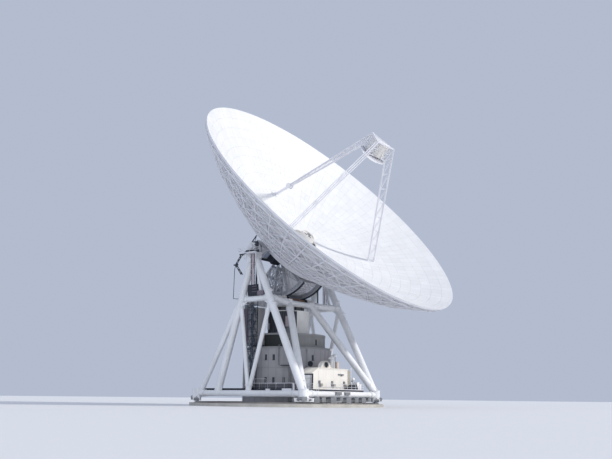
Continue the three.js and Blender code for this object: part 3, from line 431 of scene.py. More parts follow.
LOOKS = {
    "reflector": panel_paint("reflector_paint", (0.79, 0.79, 0.795)),
    "lattice": paint("lattice_paint", (0.78, 0.78, 0.82), 0.5, mottle=0.06, streak=0.08),
    "steel": paint("steel_paint", (0.84, 0.85, 0.87), 0.42, mottle=0.06, size=0.4, streak=0.16,
                   dirt_share=0.06, coat=0.1),
    "beige": paint("beige_paint", (0.76, 0.74, 0.71), 0.5, mottle=0.06, streak=0.12),
    "drum": paint("drum_paint", (0.78, 0.78, 0.80), 0.55, mottle=0.1, streak=0.2, dirt_share=0.1),
    "dark": paint("dark_steel", (0.035, 0.04, 0.055), 0.45, 0.3, mottle=0.2, streak=0.2),
    "rail": paint("rail_steel", (0.30, 0.28, 0.27), 0.38, 0.85, mottle=0.2, streak=0.1,
                  dirt=(0.22, 0.12, 0.06), dirt_share=0.5),
    "concrete": paint("concrete", (0.50, 0.48, 0.44), 0.85, mottle=0.16, size=0.8, streak=0.2,
                      dirt_share=0.25, bump=0.04, grain=40),
    "wall": paint("wall_cladding", (0.36, 0.35, 0.365), 0.7, mottle=0.08, streak=0.25, dirt_share=0.12),
    "roof": paint("roof_covering", (0.36, 0.36, 0.35), 0.9, mottle=0.15, streak=0.0, dirt_share=0.2,
                  bump=0.05, grain=90),
    "cabin": paint("cabin_paint", (0.83, 0.80, 0.745), 0.5, mottle=0.04, streak=0.1, dirt_share=0.05),
    "glass": glass("window_glass"),
    "mirror": paint("mirror_paint", (0.95, 0.94, 0.95), 0.3, 0.6, mottle=0.03, streak=0.02, bump=0.004),
    "cream": paint("cream_paint", (0.88, 0.85, 0.78), 0.5, mottle=0.08, streak=0.2, dirt_share=0.1),
    "pink": paint("faded_red_paint", (0.56, 0.47, 0.50), 0.55, mottle=0.1, streak=0.15),
    "rust": paint("rusted_steel", (0.30, 0.19, 0.13), 0.8, 0.1, mottle=0.3, size=2.0, streak=0.3,
                  dirt=(0.16, 0.09, 0.05), dirt_share=0.5),
    # Near-black blue stair colours: partly dark paint, partly painted shade of the stair tower
    "stair": paint("stair_paint_and_shade", (0.09, 0.12, 0.16), 0.5, mottle=0.1, streak=0.1),
    "stair_dark": paint("stair_frame_paint_and_shade", (0.03, 0.045, 0.07), 0.5, mottle=0.15, streak=0.1),
    "shaft": paint("shaft_panel_paint", (0.29, 0.28, 0.285), 0.55, mottle=0.06, streak=0.15),
    "wrap": paint("cable_drum_paint", (0.90, 0.88, 0.85), 0.5, mottle=0.08, streak=0.15),
    # Near-black core of the cable drum: painted shade of its unlit side
    "wrap_painted_shade": paint("cable_drum_core_painted_shade", (0.13, 0.13, 0.15), 0.6, mottle=0.2, streak=0.25),
    "tier": paint("tier_cladding", (0.27, 0.27, 0.265), 0.7, mottle=0.1, streak=0.3, dirt_share=0.15),
    # Near-black tier cladding: partly a dark cladding, partly painted shade on the tier's unlit side
    "tier_dark_shade": paint("dark_tier_cladding_and_shade", (0.022, 0.025, 0.026), 0.7, mottle=0.2, streak=0.3),
    "trim": paint("wall_trim_paint", (0.31, 0.305, 0.315), 0.65, mottle=0.08, streak=0.2, dirt_share=0.1),
    # Blue-grey: partly the beam's paint, partly painted shade of the sky-lit shadow under the dish
    "beam": paint("axle_beam_paint_and_shade", (0.41, 0.47, 0.57), 0.5, mottle=0.1, streak=0.15),
    "peach": paint("peach_paint", (0.62, 0.52, 0.45), 0.5, mottle=0.08, streak=0.12),
    "tan": paint("tan_paint", (0.40, 0.37, 0.32), 0.55, mottle=0.1, streak=0.15, dirt_share=0.1),
    # Near-white paint; on the cabin's left face it is painted light on a face the sun doesn't reach
    "bright": paint("white_paint_and_painted_light", (0.95, 0.95, 0.95), 0.45, mottle=0.02, streak=0.04),
    "gear": paint("gear_web_paint", (0.50, 0.51, 0.55), 0.5, mottle=0.1, streak=0.15, dirt_share=0.1),
    # Lavender grey that paints the shade on the far part of the shaft's side; the low box by the strut
    # cabinets takes it too
    "mauve_shade": paint("shaft_side_painted_shade", (0.185, 0.155, 0.19), 0.55, mottle=0.08, streak=0.15),
    "machine": paint("machine_grey", (0.25, 0.26, 0.28), 0.5, 0.2, mottle=0.15, streak=0.2,
                     dirt_share=0.2),
}

# The looks of each slot of the record; the first one also dresses the CAD nodes of that slot
SLOT_LOOKS = {
    "concrete": ["concrete"],
    "rail_steel": ["rail"],
    "wall_panel": ["wall", "tier", "tier_dark_shade", "trim"],
    "roof_grey": ["roof"],
    "steel_paint": ["steel"],
    "dark_steel": ["dark", "machine", "rust", "stair", "stair_dark"],
    "cabin_panel": ["cabin", "shaft", "mauve_shade", "bright"],
    "reflector_white": ["reflector", "mirror"],
    "lattice_paint": ["lattice", "beam", "gear"],
    "drum_grey": ["drum", "wrap", "wrap_painted_shade"],
    "beige_panel": ["beige", "cream", "pink", "peach", "tan"],
}
SLOT_OF_LOOK = {look: slot for slot, looks in SLOT_LOOKS.items() for look in looks}


def dress_cad_nodes():
    """Gives every carried-over node the procedural material of its slot."""
    slots = {part["node"]: part["material_slot"] for part in frame["record"]["subparts"]}
    for name, thing in frame["nodes"].items():
        thing.data.materials.clear()
        thing.data.materials.append(LOOKS[SLOT_LOOKS[slots[name]][0]])


# Stage, light and camera


def add_object(name, data):
    thing = bpy.data.objects.new(name, data)
    bpy.context.scene.collection.objects.link(thing)
    return thing


def build_stage():
    floor = bpy.data.meshes.new("floor")
    reach = 700.0
    corners = [(-reach, -reach, 0), (reach, -reach, 0), (reach, reach, 0), (-reach, reach, 0)]
    floor.from_pydata(corners, [], [(0, 1, 2, 3)])
    look = bpy.data.materials.new("floor_look")
    _, shader = principled(look)
    shader.inputs["Base Color"].default_value = (0.84, 0.84, 0.85, 1)
    shader.inputs["Roughness"].default_value = 0.9
    floor.materials.append(look)
    add_object("floor", floor)


def build_light():
    world = bpy.data.worlds.new("studio")
    bpy.context.scene.world = world
    world.use_nodes = True
    back = world.node_tree.nodes["Background"]
    back.inputs["Color"].default_value = (0.58, 0.65, 0.80, 1)
    back.inputs["Strength"].default_value = 0.78
    for name, energy, softness, colour, towards in (("key", 2.25, 3, (1.0, 0.96, 0.90), SUN),
                                                    ("fill", 0.8, 60, (0.93, 0.95, 1.0), FILL)):
        sun = bpy.data.lights.new(name, "SUN")
        sun.energy = energy
        sun.angle = math.radians(softness)
        sun.color = colour
        add_object(name, sun).rotation_euler = Vector(towards).to_track_quat("Z", "Y").to_euler()


def build_camera():
    data = bpy.data.cameras.new("camera")
    data.sensor_width = SENSOR_WIDTH
    data.lens = LENS
    data.clip_end = 2000
    thing = add_object("camera", data)
    thing.matrix_world = (
        Matrix.Translation(Vector(CAMERA_PLACE) * METRE)
        @ rotation(-CAMERA_HEADING, "Z") @ rotation(90 + CAMERA_PITCH, "X") @ rotation(CAMERA_ROLL, "Z")
    )
    bpy.context.scene.camera = thing
    bpy.context.scene.view_settings.view_transform = "Standard"


# Dish

PANEL_ROWS = 15
PANEL_INNER = 3.1
PANEL_GAP = 0.022
PANEL_THICK = 0.09
ROUND_STEPS = 192
TRUSS_RADII = [8.4, 11.2, 14.0, 17.0, 20.0, 23.0, 26.0, 28.8, 31.6]
BACK_PROFILE = [(8.4, 1.3), (14.0, 3.3), (20.0, 6.5), (26.0, 10.0), (31.6, 14.5)]
FRONT_CHORD_DROP = 0.42
BACK_CHORD_RISE = 0.18
RIB_COUNT = 48
LEG_ANGLES = {"top": 90, "left": 202.5, "right": -22.5}
LEG_FEET = {"top": (14.0, 0.7), "left": (17.3, 1.3), "right": (17.3, 1.3)}
LEG_TOP_RADIUS = 3.3
LEG_TOP_INNER = 29.15
LEG_TOP_OUTER = 32.1
LEG_HALF_WIDTH = 0.2
LEG_PANELS = 15
KNUCKLE = 0.15


def panels_in_row(row):
    if row < 3:
        return 24
    return 48 if row < 7 else 96


def build_reflector():
    """The dish's sheet panels, each a thin curved plate with a narrow joint round it."""
    radii = steps(PANEL_INNER, DISH_RADIUS, PANEL_ROWS)
    for quarter in range(4):
        piece = Piece(f"reflector_panels_{quarter + 1}", "dish", BOWL)
        for row in range(PANEL_ROWS):
            count = panels_in_row(row)
            inner, outer = radii[row] + PANEL_GAP / 2, radii[row + 1] - PANEL_GAP / 2
            middle = (inner + outer) / 2
            gap = math.degrees(PANEL_GAP / 2 / middle)
            front = [(radius, surface(radius)) for radius in (inner, middle, outer)]
            back = [(radius, height - PANEL_THICK) for radius, height in reversed(front)]
            for k in range(count // 4):
                start = 90 * quarter + 360 / count * k
                piece.lathe(front + back, ROUND_STEPS // count, None, start + gap, start + 360 / count - gap)
        piece.put("reflector", f"reflector_quarter_{quarter + 1}")


def back_height(radius):
    """The height of the back chords of the trusses at a radius."""
    for (r0, z0), (r1, z1) in zip(BACK_PROFILE, BACK_PROFILE[1:]):
        if radius <= r1:
            break
    return mix(z0, z1, (radius - r0) / (r1 - r0)) + BACK_CHORD_RISE


def front_height(radius):
    return surface(radius) - FRONT_CHORD_DROP


def build_backup():
    """The fine members of the backup structure, between and across the main radial trusses."""
    nodes = [[[polar(radius, 360 / RIB_COUNT * k, height(radius)) for height in (front_height, back_height)]
              for radius in TRUSS_RADII] for k in range(RIB_COUNT)]
    for quarter in range(4):
        piece = Piece(f"fine_lattice_{quarter + 1}", "dish", BOWL)
        for k in range(quarter * RIB_COUNT // 4, (quarter + 1) * RIB_COUNT // 4):
            here, there = nodes[k], nodes[(k + 1) % RIB_COUNT]
            for i, (front, back) in enumerate(here):
                next_front, next_back = there[i]
                piece.rods((front, next_front, 0.07, 5), (back, next_back, 0.1, 5),
                           (front, next_back, 0.06, 4), (back, next_front, 0.06, 4), (front, back, 0.08, 5))
                if i:
                    (low_front, low_back), low_next = here[i - 1], there[i - 1][1]
                    ends = (low_front, back) if i % 2 else (low_back, front)
                    piece.rods((low_front, front, 0.1, 5), (low_back, back, 0.13, 6), (*ends, 0.08, 5),
                               (low_back, next_back, 0.07, 4), (low_next, back, 0.07, 4))
        piece.put("lattice", f"backup_quarter_{quarter + 1}")


def build_rim():
    """The edge channel round the rim of the dish."""
    piece = Piece("rim_channel", "dish", BOWL)
    outer, top = DISH_RADIUS - 0.02, RIM - PANEL_THICK - 0.01
    piece.lathe([(outer - 0.33, top - 0.12), (outer, top), (outer, top - 0.3), (outer - 0.1, top - 0.36)],
                ROUND_STEPS)
    piece.put("lattice")


def build_tripod():
    """The three lattice legs. The top one narrows to a knuckle on one strong foot tube."""
    across = Vector((0, 1, 0))
    half = across * LEG_HALF_WIDTH
    for name, angle in LEG_ANGLES.items():
        piece = Piece(f"tripod_leg_{name}", "dish", BOWL @ rotation(angle, "Z"))
        radius, depth = LEG_FEET[name]
        chords = [(Vector((reach, 0, surface(reach))), Vector((LEG_TOP_RADIUS, 0, height)))
                  for reach, height in zip(about(radius, depth / 2), (LEG_TOP_INNER, LEG_TOP_OUTER))]
        if name == "top":
            foot = chords[0][0].lerp(chords[1][0], 0.5)
            marks = [low.lerp(high, KNUCKLE) for low, high in chords]
            knuckle = marks[0].lerp(marks[1], 0.5)
            chords = [(knuckle.lerp(mark, 0.5), high) for mark, (_, high) in zip(marks, chords)]
            piece.rods((foot, knuckle, 0.28, 20, 0.32), (foot - across * 0.7, foot + across * 0.7, 0.18, 12),
                       (knuckle - across * 0.5, knuckle + across * 0.5, 0.46, 20),
                       (knuckle - across * 0.56, knuckle - across * 0.5, 0.62, 24),
                       (knuckle + across * 0.5, knuckle + across * 0.56, 0.62, 24))
        else:
            for low, _ in chords:
                piece.block(low, (0.5, 0.7, 0.3))
        for off in (-half, half):
            for low, high in chords:
                piece.rod(low + off, high + off, 0.11, 8)
            for i in range(LEG_PANELS):
                a, b = chords if i % 2 else reversed(chords)
                piece.rod(a[0].lerp(a[1], i / LEG_PANELS) + off, b[0].lerp(b[1], (i + 1) / LEG_PANELS) + off,
                          0.055)
        for i in range(LEG_PANELS + 1):
            for low, high in chords:
                at = low.lerp(high, i / LEG_PANELS)
                piece.rod(at - half, at + half, 0.05)
        piece.put("lattice", f"subreflector_leg_{name}")


# Subreflector, its housing and the feed cone

SUB_RADIUS = 2.95
SUB_APEX = 27.8
SUB_RIM = 28.6
HOUSING_RADIUS = 1.86
HOUSING_SPAN = (29.31, 31.94)
NECK_RADIUS = 0.84
CONE_PROFILE = [(0, 4.43), (3.0, 4.43), (3.0, 5.45), (2.86, 5.45), (2.86, 5.0), (1.95, 5.0), (1.52, 6.64),
                (1.5, 6.7), (1.36, 6.7), (1.32, 6.42), (0, 6.42)]


def build_top_frame():
    """The three-sided lattice frame between the tops of the legs, with its roof grid."""
    piece = Piece("top_frame_lattice", "dish", BOWL)
    crown = Vector((0, 0, LEG_TOP_OUTER))
    corners = [[polar(LEG_TOP_RADIUS, angle, z) for z in (LEG_TOP_INNER, LEG_TOP_OUTER)]
               for angle in LEG_ANGLES.values()]
    for (low, high), (next_low, next_high) in zip(corners, corners[1:] + corners[:1]):
        middle, next_middle = low.lerp(high, 0.5), next_low.lerp(next_high, 0.5)
        piece.rods((low - Vector((0, 0, 0.3)), high + Vector((0, 0, 0.15)), 0.2, 10),
                   (middle, next_middle, 0.08), (high, crown, 0.1))
        piece.bar(low, next_low, 0.2, 0.22)
        piece.bar(high, next_high, 0.2, 0.24)
        braced(piece, low, next_low, middle, next_middle, 4, 0.05)
        braced(piece, middle, next_middle, high, next_high, 4, 0.05)
        for share in (0.2, 0.4, 0.6, 0.8):
            piece.rod(high.lerp(next_high, share), crown, 0.06)
        for share in (0.35, 0.7):
            piece.rod(high.lerp(crown, share), next_high.lerp(crown, share), 0.06)
    piece.put("lattice", "top_frame")


def build_subreflector():
    """The convex mirror, with its ribbed back."""
    shell = Piece("subreflector_shell", "dish", BOWL)
    front = [(SUB_RADIUS * share, mix(SUB_APEX, SUB_RIM, share ** 2)) for share in steps(0, 1, 14)]
    shell.lathe([*front, *((radius, z + 0.1) for radius, z in reversed(front))], 96)
    shell.put("mirror", "subreflector")
    ribs = Piece("subreflector_ribs", "dish", BOWL)
    for k in range(20):
        ribs.loft([[(x, -0.03, low), (x, 0.03, low), (x, 0.03, high), (x, -0.03, high)]
                   for x, low, high in ((0.8, 28.0, 28.75), (2.88, 28.62, 28.78))], rotation(18 * k, "Z"))
    for radius in (1.6, 2.84):
        ribs.lathe(band(over(radius, 0.08), (28.62, 28.82)), 64)
    ribs.put("lattice")


def build_subreflector_housing():
    """The twelve-sided housing behind the mirror, with its neck, panels, vents and cable boxes."""
    low, high = HOUSING_SPAN
    piece = Piece("subreflector_housing", "dish", BOWL)
    piece.lathe(band((0, HOUSING_RADIUS), HOUSING_SPAN), 12)
    piece.lathe(band((0, NECK_RADIUS), (SUB_RIM + 0.12, low)), 40)
    flat = HOUSING_RADIUS * math.cos(math.radians(15))
    panels = [(low + 0.12, mix(low, high, 0.48)), (mix(low, high, 0.52), high - 0.12)]
    for k in range(12):
        turn = rotation(30 * k + 15, "Z")
        piece.box((HOUSING_RADIUS - 0.03, HOUSING_RADIUS + 0.04), about(0, 0.05), HOUSING_SPAN,
                  rotation(30 * k, "Z"))
        piece.box((flat - 0.01, flat + 0.03), about(0, 0.4), panels, turn)
        if k % 3 == 0:
            piece.box(over(flat, 0.08), about(0, 0.3), over(series(mix(low, high, 0.58), 0.13, 7), 0.05),
                      turn)
        if k % 4 == 1:
            piece.box(over(flat, 0.3), about(0, 0.28), (low + 0.25, low + 0.85), turn)
    for z in (low, high - 0.1):
        piece.lathe(band((HOUSING_RADIUS - 0.1, HOUSING_RADIUS + 0.07), over(z, 0.1)), 12)
    for k in range(8):
        piece.box((NECK_RADIUS - 0.02, NECK_RADIUS + 0.25), about(0, 0.03), (SUB_RIM + 0.2, low),
                  rotation(45 * k, "Z"))
    piece.put("beige", "subreflector_box")


def build_feed_cone():
    """The cone in the middle of the dish with its skirt, seams, flanges and closed feed windows."""
    shell = Piece("feed_cone_shell", "dish", BOWL)
    shell.lathe(CONE_PROFILE, 96)
    for k in range(16):
        shell.bar(polar(1.95, 22.5 * k, 5.0), polar(1.54, 22.5 * k, 6.6), 0.05, 0.05)
        shell.box((2.84, 2.9), about(0, 0.03), (5.0, 5.4), rotation(22.5 * k, "Z"))
    for radius, z in ((1.9, 5.02), (1.73, 5.85), (1.48, 6.6)):
        shell.lathe([(radius - 0.1, z), (radius + 0.07, z), (radius + 0.05, z + 0.09),
                     (radius - 0.1, z + 0.09)], 96)
    shell.put("beige", "feed_cone")
    windows = Piece("feed_windows", "dish", BOWL)
    for angle, radius in ((30, 0.5), (150, 0.4), (270, 0.45)):
        windows.lathe([(0, 6.43), (radius, 6.43), (radius, 6.52), (radius - 0.08, 6.52),
                       (radius - 0.08, 6.47), (0, 6.47)], 40, shift(*polar(0.72, angle, 0)))
    windows.put("machine")
    kit = Piece("cone_kit", "dish", BOWL)
    for angle in (160, 200, 320):
        kit.box((2.05, 2.6), about(0, 0.3), (5.02, 5.5), rotation(angle, "Z"))
    kit.put("dark")


# Hub, axle beam, gear sectors and counterweight

GEAR_X = 3.05
GEAR_SPAN = (-92, -3)
GEAR_SPOKES = (-86, -62, -38, -10)
GEAR_TEETH = 52
GEAR_TIP = 9.7
GEAR_RIM = 8.5
DRUM_SPAN = (-88, -52)
DRUM_RADII = (1.75, 8.25)
DRUM_HALF = 2.46
AXLE_END = 10.2
ACROSS = (1, 0, 0)


def build_hub():
    piece = Piece("hub_stiffeners", "dish", BOWL)
    for k in range(24):
        turn = rotation(15 * k, "Z")
        piece.box((4.68, 8.1), about(0, 0.05), (0.5, 0.8), turn)
        piece.box((7.9, 8.24), about(0, 0.06), (0.8, 4.3), turn)
    for radius in (4.66, 6.3, 7.95):
        piece.lathe(band(over(radius, 0.16), (0.45, 0.8)), 96)
    piece.put("lattice")


def build_axle_beam():
    """Stiffeners, flanges and collars of the beam along the elevation axis, and the drive box on it."""
    piece = Piece("axle_beam_plates", "dish", DISH)
    bay = 1.2
    piece.box(about(series(-8 * bay, bay, 17), 0.04), about(0, 1.44), (-1.34, 0.76))
    bays = over(series(-8 * bay + 0.08, bay, 16), bay - 0.16)
    piece.box(bays, over([-1.34, 1.3], 0.04), (-1.12, 0.72))
    piece.box(bays, about(0, 1.05), (-1.24, -1.2))
    # The beam's blue-grey is partly painted shade
    piece.put("beam")
    ends = Piece("axle_beam_ends", "dish", DISH)
    dark = Piece("trunnion_collars", "dish", DISH)
    for side in SIDES.values():
        ends.box(over(side * AXLE_END, side * 0.1), about(0, 1.5), (-1.36, 1.1))
        ends.box(about(series(side * 9.2, side * 0.4, 3), 0.05), about(0, 1.56), (-1.42, 1.1))
        ends.box(over(side * (AXLE_END + 0.06), side * 0.08), about([-1.45, -0.75, 0.75, 1.4], 0.05),
                 (-1.3, 1.05))
        dark.box(over(side * (AXLE_END + 0.1), side * 0.06), (-0.6, 1.4), over(series(-0.5, 0.33, 5), 0.16))
        dark.lathe([(0.58, 10.3), (0.86, 10.3), (0.86, 10.38), (0.68, 10.4), (0.68, 10.46), (0.58, 10.46)],
                   48, rotation(90 * side, "Y"))
    ends.put("lattice")
    for y, low in ((-1.3, -1.72), (1.3, -1.34)):
        dark.box(about(0, AXLE_END), about(y, 0.2), (low, -1.19))
    dark.put("dark")
    drive = Piece("beam_drive_box", "dish", DISH)
    drive.box([(-7.4, -4.9), (4.9, 7.4)], (-2.9, -1.32), (-1.15, 0.25))
    drive.box(over(series(-7.25, 0.28, 9), 0.06), (-2.98, -1.4), (-1.24, 0.3))
    drive.put("dark")


def build_gear():
    """The two toothed sectors with their spokes, and the bracing between them."""
    for name, side in SIDES.items():
        x = side * GEAR_X
        rack = Piece(f"gear_rack_{name}", "dish", DISH)
        rack.sector(about(x, 0.16), (9.4, 9.56), GEAR_SPAN, 60)
        for i in range(GEAR_TEETH):
            turn = mix(*GEAR_SPAN, (i + 0.5) / GEAR_TEETH)
            rack.bar(round_axis(x, 9.54, turn), round_axis(x, GEAR_TIP, turn), 0.15, 0.28, ACROSS)
        rack.put("dark", f"gear_sector_{name}")
        web = Piece(f"gear_web_{name}", "dish", DISH)
        for half, radii in ((0.05, (8.6, 9.24)), (0.25, (9.22, 9.4)), (0.3, (GEAR_RIM, 8.62))):
            web.sector(about(x, half), radii, GEAR_SPAN, 60)
        for i in range(30):
            turn = mix(*GEAR_SPAN, (i + 0.5) / 30)
            web.bar(round_axis(x, 8.6, turn), round_axis(x, 9.24, turn), 0.06, 0.44, ACROSS)
        for spoke in GEAR_SPOKES:
            ends = [[round_axis(place, radius, spoke) for radius in (1.5, GEAR_RIM)]
                    for place in about(x, 0.28)]
            for a, b in ends:
                web.rod(a, b, 0.13, 8)
            braced(web, *ends[0], *ends[1], 7, 0.05)
        for a, b in zip(GEAR_SPOKES, GEAR_SPOKES[1:]):
            low, next_low = round_axis(x, 4.6, a), round_axis(x, 4.6, b)
            web.rods((round_axis(x, GEAR_RIM, a), next_low, 0.09), (round_axis(x, GEAR_RIM, b), low, 0.09),
                     (low, next_low, 0.08))
        web.put("gear")
    bracing = Piece("gear_bracing", "dish", DISH)
    turns = steps(-50, GEAR_SPAN[1] - 2, 5)
    rings = [(3.4, 0.1), (5.9, 0.1), (GEAR_RIM, 0.12)]
    for radius, thick in rings:
        for turn in turns:
            bracing.rod(round_axis(-GEAR_X, radius, turn), round_axis(GEAR_X, radius, turn), thick, 8)
        for before, turn in zip(turns, turns[1:]):
            for x in (-GEAR_X, GEAR_X):
                start, end = round_axis(x, radius, before), round_axis(x, radius, turn)
                bracing.rods((start, end, 0.09), (start, round_axis(0, radius, turn), 0.07),
                             (round_axis(0, radius, before), end, 0.07))
    for (inner, _), (outer, _) in zip(rings, rings[1:]):
        for i, turn in enumerate(turns):
            for x in (-GEAR_X, 0, GEAR_X):
                bracing.rod(round_axis(x, inner, turn), round_axis(x, outer, turn), 0.09)
                if i:
                    bracing.rod(round_axis(x, inner, turns[i - 1]), round_axis(x, outer, turn), 0.07)
                if x:
                    bracing.rod(round_axis(x, inner, turn), round_axis(0, outer, turn), 0.07)
    bracing.put("gear")


def build_counterweight():
    """The closed counterweight box between the gear sectors, of ribbed plates, with a grid behind it."""
    inner, outer = DRUM_RADII
    turns = steps(*DRUM_SPAN, 7)
    piece = Piece("counterweight_plates", "dish", DISH)
    piece.sector(about(0, DRUM_HALF), DRUM_RADII, DRUM_SPAN, 24)
    for turn in turns:
        for x in about(0, DRUM_HALF + 0.02):
            piece.bar(round_axis(x, inner + 0.5, turn), round_axis(x, outer, turn), 0.07, 0.1, ACROSS)
        piece.bar(round_axis(-DRUM_HALF, outer, turn), round_axis(DRUM_HALF, outer, turn), 0.08, 0.1,
                  round_axis(0, 1, turn))
    for radius in (4.2, 6.4, outer - 0.15):
        for x in (-DRUM_HALF - 0.05, DRUM_HALF):
            piece.sector(over(x, 0.05), over(radius, 0.1), DRUM_SPAN, 24)
    piece.put("drum", "counterweight_drum")
    grid = Piece("counterweight_grid", "dish", DISH)
    places = steps(-DRUM_HALF, DRUM_HALF, 4)
    for i, turn in enumerate(turns):
        for k, x in enumerate(places):
            here = round_axis(x, GEAR_RIM, turn)
            if k:
                grid.rod(round_axis(places[k - 1], GEAR_RIM, turn), here, 0.1, 8)
            if i:
                grid.rod(round_axis(x, GEAR_RIM, turns[i - 1]), here, 0.1, 8)
            if i and k:
                grid.rod(round_axis(places[k - 1], GEAR_RIM, turns[i - 1]), here, 0.07)
            grid.rod(round_axis(x, 8.2, turn), here, 0.06)
    grid.put("lattice")


# Alidade

LEG_TUBE = 0.75
STRUT_TUBE = 0.6
STAY_TUBE = 0.55
BEAM_TUBE = 0.6
BRACE_TUBE = 0.43
POST_TUBE = 0.34
RING_LEG_TUBE = 0.7
CORNER_TUBE = 0.55
ARM_DROP = 0.1
RING_RADII = (2.6, 3.6)
RING_SPAN = (20.5, 21.5)
PINION_PLACE = (-2.2, 22.1)
BEARING_X = 11.5
BEARING_DECK = 30.58
ARM_ROUTE = [(-2.5, 30.85), (0.75, 31.0), (2.35, 30.3), (3.75, 28.5), (2.0, 26.3)]


def on_leg(side, foot_y, height):
    share = (AXIS_HEIGHT - height) / (AXIS_HEIGHT - BASE_HEIGHT)
    return Vector((side * mix(TOWER_TOP_X, TOWER_FOOT_X, share), foot_y * share, height))


def mid_corner(side, end):
    return Vector((side * MID_CORNER[0], end * MID_CORNER[1], MID_HEIGHT - ARM_DROP))


def build_towers():
    for name, side in SIDES.items():
        apex = Vector((side * TOWER_TOP_X, 0, AXIS_HEIGHT - 0.9))
        foot_x = side * TOWER_FOOT_X
        brace_foot = Vector((foot_x, BRACE_FOOT_Y, BASE_HEIGHT))
        mids = {}
        for end, foot_y in (("front", FRONT_FOOT_Y), ("rear", REAR_FOOT_Y)):
            mids[end] = on_leg(side, foot_y, MID_HEIGHT)
            foot = on_leg(side, foot_y, BASE_HEIGHT)
            leg = Piece(f"front_leg_tube_{name}" if end == "front" else f"rear_leg_tubes_{name}")
            tube(leg, apex, foot, LEG_TUBE)
            if end == "rear":
                tube(leg, mids[end], (foot_x, STAY_FOOT_Y, BASE_HEIGHT), STAY_TUBE)
            for height in (22.6, 19.9):
                spot = on_leg(side, foot_y, height)
                leg.rod(spot, spot + (foot - apex).normalized() * 0.16, LEG_TUBE + 0.09, 32)
            leg.put("steel", f"{end}_leg_{name}")

        strut = Piece(f"strut_tubes_{name}")
        tube(strut, mids["front"], mids["rear"], STRUT_TUBE)
        tube(strut, (side * 11.7, -2.6, MID_HEIGHT), (side * 11.5, -1.07, 27.6), POST_TUBE)
        collars(strut, mids["front"], mids["rear"], STRUT_TUBE, (0.14, 0.14))
        strut.put("steel", f"strut_{name}")

        for end, upper in mids.items():
            brace = Piece(f"{end}_brace_tube_{name}")
            tube(brace, upper, brace_foot, BRACE_TUBE)
            collars(brace, upper, brace_foot, BRACE_TUBE, (0.08, 0.08), 0.1)
            brace.put("steel", f"{end}_brace_{name}")

        gussets = Piece(f"tower_gussets_{name}")
        for sign, (_, y, z) in zip((1, -1), mids.values()):
            out = y + sign * 2
            gussets.plate([(y, z + 1.5), (out, z + 0.5), (out, z - 0.5), (y, z - 1.7)],
                          about(side * 11.78, 0.07))
        low, high = BASE_HEIGHT + 0.3, BASE_HEIGHT + 1.5
        for y, wide, lean, narrow in ((BRACE_FOOT_Y, 0.8, 0, 0.55), (REAR_FOOT_Y, 1.1, -0.45, 0.8),
                                      (FRONT_FOOT_Y, 1.1, 0.55, 0.8)):
            gussets.plate([(y - wide, low), (y + wide, low), (y + lean + narrow, high),
                           (y + lean - narrow, high)], about(foot_x, 0.07))
        gussets.put("steel")


def build_bearings():
    """The pillow blocks of the elevation trunnions and the tower heads under them."""
    for name, side in SIDES.items():
        x = side * BEARING_X
        turn = shift(x, 0, AXIS_HEIGHT) @ ALONG_AXLE
        block = Piece(f"pillow_block_{name}")
        block.lathe([(0.63, -0.85), (1.1, -0.85), (1.14, -0.78), (1.14, 0.78), (1.1, 0.85), (0.63, 0.85)], 64,
                    turn)
        for end in (-0.9, 0.78):
            block.lathe(band((0.72, 1.0), over(end, 0.12)), 48, turn)
            for k in range(12):
                block.rod((0.9, 0, end - 0.03), (0.9, 0, end + 0.15), 0.045,
                          place=turn @ rotation(30 * k, "Z"))
        for y in (-1, 1):
            block.box(about(x, 0.8), (y * 0.66, y * 1.16), (30.9, 32.0))
            for bolt_x in about(x, 0.55):
                block.post(bolt_x, y * 1.1, (31.7, 32.45), 0.09, 8)
        block.box(about(x, 0.8), about(0, 0.7), (30.9, 31.3))
        block.put("steel", f"bearing_{name}")
        head = Piece(f"tower_head_{name}")
        head.box(about(x, 1.0), (-1.5, 1.4), (30.62, 30.88))
        for offset in (-0.78, 0, 0.78):
            head.plate([(-1.4, 30.62), (1.3, 30.62), (0.95, 28.6), (0, 28.9), (-1.35, 28.6)],
                       about(x + offset, 0.04))
        head.box(about(x, 0.8), about([-1.4, 1.3], 0.04), (29.7, 30.62))
        head.put("steel")


